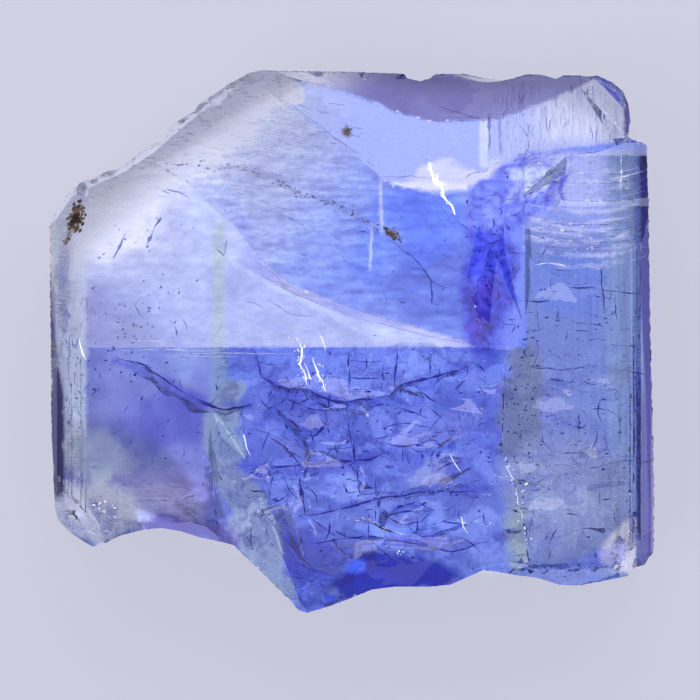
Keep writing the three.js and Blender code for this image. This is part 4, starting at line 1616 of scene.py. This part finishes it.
def pale_crowd() -> Inclusions:
    """Pale etched flecks, hair-fine steps and flakes, with a faint painted glow.

    Returns:
        The crowd.
    """
    steps = []
    rng = random.Random(80)
    for i, low in enumerate(TERRACES):
        start = 6.2 + 0.5 * rng.random()
        while start < 9.9:
            end = start + 0.3 + 1.3 * rng.random() ** 2
            xs = np.linspace(start, end, 5)
            lift = low + rng.gauss(0, 0.05)
            line = [(float(x), lift + terrace_bow(i, float(x))) for x in xs]
            steps.append(Sliver(line, 0.018 + 0.04 * rng.random() ** 2, depth=0.02, ragged=0.045))
            start = end + 0.3 * rng.random()
    for i in range(8):
        y = -0.62 + 0.11 * i
        start = -7.3 + 1.3 * math.sin(i * 2.1)
        line = [(start, y), (start + 1.6, y + 0.01), (start + 3.2 + math.sin(i), y - 0.01)]
        steps.append(Sliver(line, 0.02 + 0.012 * (i % 3), depth=0.01, ragged=0.04))
    steps += [
        Sliver([(-9.5, -4.62), (-9.1, -4.64), (-8.8, -4.6)], 0.34, ragged=0.02),
        Sliver([(-7.2, 5.5), (-6.9, 5.4), (-6.6, 5.3)], 0.1),
        Sliver([(-2.9, 9.0), (-1.6, 8.1), (-0.4, 7.2), (0.8, 6.3)], 0.05, ragged=0.04),
        Sliver([(1.15, 5.92), (2.2, 5.93), (3.2, 5.9)], 0.06),
        Sliver([(3.2, 8.55), (4.0, 8.3), (4.8, 8.05)], 0.06),
        Sliver([(-4.2, 2.85), (-3.2, 2.25), (-2.3, 1.75), (-1.3, 1.3), (-0.25, 0.9)], 0.05),
        Sliver([(-0.25, 0.9), (1.2, 0.5), (2.6, 0.15), (4.5, -0.25)], 0.05),
        Sliver([(5.0, 6.85), (5.05, 7.4), (5.0, 8.3)], 0.16, ragged=0.02),
    ]
    for row in (
        (81, 60, (-6.6, 4.6), (0.2, 8.6), (0.15, 0.7), (-14, 12), (0.02, 0.06)),
        (82, 46, (-3.4, 1.6), (3.8, 4.8), (0.15, 0.6), (-24, 14), (0.02, 0.05)),
        (83, 30, (4.2, 4.2), (7.7, 6.9), (0.2, 0.8), (34, 14), (0.03, 0.08)),
        (84, 40, (6.4, -7.8), (10.2, 3.0), (0.15, 0.9), (0, 10), (0.02, 0.06)),
        (85, 40, (-3.8, -7.4), (4.8, -0.6), (0.12, 0.6), (40, 60), (0.02, 0.06)),
        (86, 30, (-10.4, -5.4), (-9.6, 1.5), (0.12, 0.7), (90, 14), (0.03, 0.1)),
        (87, 26, (-8.6, -5.6), (-4.6, -1.0), (0.15, 0.6), (10, 40), (0.02, 0.05)),
        (88, 24, (5.0, 7.2), (9.6, 9.0), (0.4, 1.4), (89, 3), (0.02, 0.05)),
    ):
        steps += strewn(*row)
    return Inclusions(
        Crowd.PALE,
        # Painted light: a faint glow on the pale flecks.
        GrainFinish("pale_gap", (186, 192, 244), (236, 238, 255), 0.35, glow=0.16),
        [
            Scatter(13, 260, (-4.6, 6.0), (2.2, 1.1), (0.015, 0.05), (1.8, 0.3, 0.15), (-30, 5)),
            Scatter(14, 150, (-0.2, 3.9), (2.0, 1.0), (0.015, 0.045), (1.8, 0.3, 0.15), (-40, 0)),
            Scatter(15, 260, (1.0, -3.8), (3.0, 2.2), (0.012, 0.045)),
            Scatter(16, 200, (7.8, -1.0), (1.3, 3.6), (0.012, 0.05), (1.8, 0.3, 0.15), (-8, 8)),
            Scatter(17, 90, (-10.1, -2.2), (0.22, 1.3), (0.02, 0.09), (0.5, 1.0, 0.2)),
            Scatter(18, 110, (-8.6, -5.4), (0.9, 0.8), (0.015, 0.07)),
            Scatter(19, 34, (-9.05, -6.15), (0.25, 0.22), (0.03, 0.11)),
            Scatter(20, 90, (5.2, 3.4), (0.6, 1.3), (0.015, 0.07)),
            Scatter(21, 60, (-7.9, 1.0), (1.0, 1.2), (0.015, 0.05)),
            Scatter(22, 120, (6.2, -4.0), (0.5, 2.2), (0.015, 0.05)),
            Scatter(23, 70, (-3.4, -6.0), (0.6, 1.6), (0.015, 0.05)),
        ],
        steps,
        thin=0.6,
    )


def crumb_crowd() -> Inclusions:
    """Dark and brown crumbs on the rim, the seam and the stained spots.

    Returns:
        The crowd.
    """
    return Inclusions(
        Crowd.CRUMB,
        GrainFinish("rim_crumb", (60, 46, 40), (124, 104, 92), 0.6),
        [
            Trail(31, 240, SLANTED_RIM, (0.015, 0.06)),
            Trail(32, 170, THIN_RIM, (0.015, 0.05)),
            Trail(33, 60, ROUND_RIM, (0.015, 0.05)),
            Trail(34, 60, CRUMB_SEAM[2:], (0.02, 0.07), 0.08),
            Trail(35, 36, CRUMB_SEAM[-2:], (0.04, 0.12), 0.08),
            Trail(36, 60, [(10.4, -7.9), (8.0, -8.6), (5.0, -8.2)], (0.015, 0.05)),
            Trail(37, 150, [(-9.95, 4.8), (-10.1, 4.0)], (0.04, 0.13), 0.12, (-0.04, 0.0)),
            Trail(38, 40, [(-10.25, 3.8), (-10.4, 3.45)], (0.02, 0.07), 0.05, (-0.03, 0.0)),
            Scatter(39, 26, (-0.2, 7.6), (0.08, 0.1), (0.03, 0.09), depth=(-0.01, 0.02)),
            Scatter(40, 8, (-10.75, -0.25), (0.04, 0.04), (0.04, 0.08), depth=(-0.01, 0.02)),
            Scatter(41, 16, (-8.2, 0.4), (1.2, 0.9), (0.02, 0.05), depth=(0.0, 0.3)),
        ],
        [],
    )


def spark_crowd() -> Inclusions:
    """Painted highlights: white slivers along open crack edges that glow in place of glints.

    Returns:
        The crowd.
    """
    upper = [(2.8, 6.4), (2.95, 6.1), (3.0, 5.9), (3.3, 5.5), (3.4, 5.1), (3.7, 4.6)]
    left = [(-1.95, 0.05), (-1.85, -0.6), (-1.9, -0.95), (-1.65, -1.65)]
    right = [(-1.35, -0.6), (-1.25, -1.2), (-1.05, -1.8)]
    lower = [(5.4, -4.3), (5.84, -5.1), (5.98, -5.8), (6.28, -6.8), (6.42, -7.4)]
    splinters = [Sliver(list(line), width, depth, ragged=ragged) for width, depth, ragged, *line in (
        (0.3, 0.0, 0.14, *upper[:3]),
        (0.36, 0.0, 0.16, *upper[1:5]),
        (0.3, 0.0, 0.16, (3.2, 5.7), (3.3, 5.3), (3.55, 4.9)),
        (0.3, 0.0, 0.12, *upper[4:]),
        (0.14, 0.0, 0.1, (3.05, 6.1), (3.15, 5.7), (3.35, 5.4)),
        (0.16, 0.0, 0.12, *left[:3]),
        (0.2, 0.0, 0.12, *left[1:]),
        (0.12, 0.0, 0.1, (-1.75, -0.9), (-1.6, -1.3), (-1.5, -1.5)),
        (0.16, 0.0, 0.14, *right),
        (0.14, 0.0, 0.1, (-1.3, -1.3), (-1.1, -1.55), (-1.0, -1.9)),
        (0.07, 0.0, 0.05, (-1.28, 0.35), (-1.1, 0.0), (-0.97, -0.42)),
        (0.09, 0.02, 0.05, (1.05, 6.0), (1.08, 5.2), (1.1, 4.6), (1.06, 3.95)),
        (0.08, 0.02, 0.05, (0.7, 4.1), (0.68, 3.3), (0.66, 2.55)),
        (0.1, 0.03, 0.05, (9.82, 7.1), (9.78, 6.2), (9.7, 5.3)),
        (0.06, 0.02, 0.1, *lower),
        (0.1, 0.0, 0.05, (6.6, 2.72), (7.1, 2.76), (7.7, 2.66)),
        (0.05, 0.02, 0.05, (-3.8, -4.95), (-2.8, -4.98), (-1.8, -4.95)),
        (0.08, 0.0, 0.05, (3.5, -4.1), (3.7, -4.5), (3.95, -4.85)),
        (0.08, 0.0, 0.05, (3.9, -6.4), (4.0, -6.8), (4.15, -7.0)),
        (0.1, 0.0, 0.05, (-9.9, 0.0), (-9.75, -0.5), (-9.6, -0.8)),
        (0.1, 0.0, 0.05, (-4.0, -3.3), (-3.85, -3.8), (-3.7, -4.2)),
    )]
    return Inclusions(
        Crowd.SPARK,
        # Painted highlights: white that glows in place of glints off the crack edges.
        GrainFinish("painted_glint_glow", (236, 238, 255), (255, 255, 255), 0.25, glow=0.55),
        [
            Trail(41, 110, upper, (0.015, 0.13), 0.13, (-0.02, 0.03), (1.3, 0.4, 0.3)),
            Trail(42, 90, left, (0.01, 0.07), 0.11, (-0.02, 0.03), (1.3, 0.4, 0.3)),
            Trail(43, 60, right, (0.01, 0.08), 0.1, (-0.02, 0.03), (1.3, 0.4, 0.3)),
            Trail(44, 70, lower, (0.01, 0.05), 0.1, (-0.02, 0.03)),
            Scatter(45, 60, (1.0, -3.7), (3.2, 2.2), (0.01, 0.03), depth=(-0.01, 0.05)),
            Scatter(46, 50, (7.8, 1.0), (1.4, 3.6), (0.01, 0.03), depth=(-0.01, 0.05)),
            Scatter(47, 8, (1.75, -7.7), (0.1, 0.05), (0.02, 0.07), depth=(-0.01, 0.0)),
            Scatter(48, 16, (-9.0, -6.1), (0.3, 0.2), (0.02, 0.07), depth=(-0.01, 0.02)),
            Scatter(49, 10, (6.05, -5.6), (0.12, 0.3), (0.03, 0.1), depth=(-0.01, 0.0)),
            Scatter(50, 30, (-10.0, -2.0), (0.2, 1.4), (0.01, 0.05), depth=(-0.01, 0.05)),
        ],
        splinters,
        thin=0.45,
    )


@dataclass
class Studio:
    """The floor, the soft lights and the camera over the crystal."""

    aim: Point = (-0.09, -0.39)
    frame_width: float = 25.62
    lens: float = 400.0
    plane: float = 5.0
    far: float = 0.34

    def build(self) -> None:
        """Builds the whole setting."""
        self._floor()
        self._world()
        self._softbox("key_light", (-0.55, -0.35, 0.76), 0.16, 2.2)
        self._softbox("slope_light", (0.05, 0.60, 0.80), 0.16, 1.6)
        self._camera()
        self._bounces()

    def _floor(self) -> None:
        """Lays the floor just under the crystal."""
        half, drop = 400.0, -0.02
        corners = [(-half, -half, drop), (half, -half, drop), (half, half, drop), (-half, half, drop)]
        floor = mesh_object("floor", corners, [(0, 1, 2, 3)])
        floor.data.materials.append(FloorFinish().make())

    def _world(self) -> None:
        """Fills the room with soft light, brighter behind the thin end than in front."""
        world = bpy.data.worlds.new("room")
        bpy.context.scene.world = world
        world.use_nodes = True
        tree = world.node_tree
        background = tree.nodes["Background"]
        place = tree.nodes.new("ShaderNodeTexCoord")
        parts = tree.nodes.new("ShaderNodeSeparateXYZ")
        ramp = tree.nodes.new("ShaderNodeValToRGB")
        shift = tree.nodes.new("ShaderNodeMapRange")
        tree.links.new(place.outputs["Generated"], parts.inputs[0])
        tree.links.new(parts.outputs["Y"], shift.inputs["Value"])
        shift.inputs["From Min"].default_value = -1.0
        tree.links.new(shift.outputs["Result"], ramp.inputs["Fac"])
        stops = ((0.0, 0.30), (0.5, 0.38), (0.72, 0.75), (1.0, 1.1))
        while len(ramp.color_ramp.elements) < len(stops):
            ramp.color_ramp.elements.new(0.5)
        for element, (spot, level) in zip(ramp.color_ramp.elements, stops):
            element.position = spot
            element.color = (level * 0.94, level * 0.94, level, 1.0)
        tree.links.new(ramp.outputs["Color"], background.inputs["Color"])

    def _softbox(self, name: str, towards: Sequence[float], size: float, radiance: float) -> None:
        """Hangs a square light that faces the crystal.

        Args:
            name: Its name.
            towards: The direction to it from the crystal.
            size: Its side, in metres.
            radiance: How bright its face is.
        """
        light = bpy.data.lights.new(name, "AREA")
        light.size = size
        light.energy = radiance * math.pi * size * size
        light.color = (0.97, 0.97, 1.0)
        holder = bpy.data.objects.new(name, light)
        bpy.context.scene.collection.objects.link(holder)
        direction = Vector(towards).normalized()
        holder.location = direction * self.far
        holder.rotation_euler = (-direction).to_track_quat("-Z", "Y").to_euler()

    def _camera(self) -> None:
        """Hangs the camera straight above, with the thin end up in its frame."""
        camera = bpy.data.cameras.new("camera")
        camera.lens = self.lens
        camera.clip_start = 0.01
        camera.clip_end = 10.0
        holder = bpy.data.objects.new("camera", camera)
        bpy.context.scene.collection.objects.link(holder)
        distance = self.frame_width * self.lens / camera.sensor_width
        holder.location = Vector((*self.aim, self.plane + distance)) * MM
        bpy.context.scene.camera = holder

    @staticmethod
    def _bounces() -> None:
        """Lets light pass many faces, and shows colours as they are."""
        scene = bpy.context.scene
        scene.cycles.max_bounces = 12
        scene.cycles.transmission_bounces = 12
        scene.cycles.glossy_bounces = 6
        scene.cycles.sample_clamp_indirect = 6.0
        scene.view_settings.view_transform = "Standard"


def write_sizes() -> None:
    """Brings the scene's view layer up to date."""
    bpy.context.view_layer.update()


def main() -> None:
    """Builds the crystal, what lies in it and its setting."""
    logging.basicConfig(level=logging.INFO, format="%(message)s")
    noise.seed_set(NOISE_SEED)
    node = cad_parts["crystal"]
    stone = Stone()
    front = stone.front(node)
    piece = stone.build(node)
    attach(piece, "root")
    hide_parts("crystal")
    LOG.info("%s: %d faces", piece.name, len(piece.data.polygons))
    for group in (Veils(cracks(), VeilFinish()), dark_crowd(), pale_crowd(), crumb_crowd(), spark_crowd()):
        made = group.build(front)
        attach(made, "root")
        LOG.info("%s: %d faces", made.name, len(made.data.polygons))
    Studio().build()
    write_sizes()


if __name__ == "__main__":
    main()
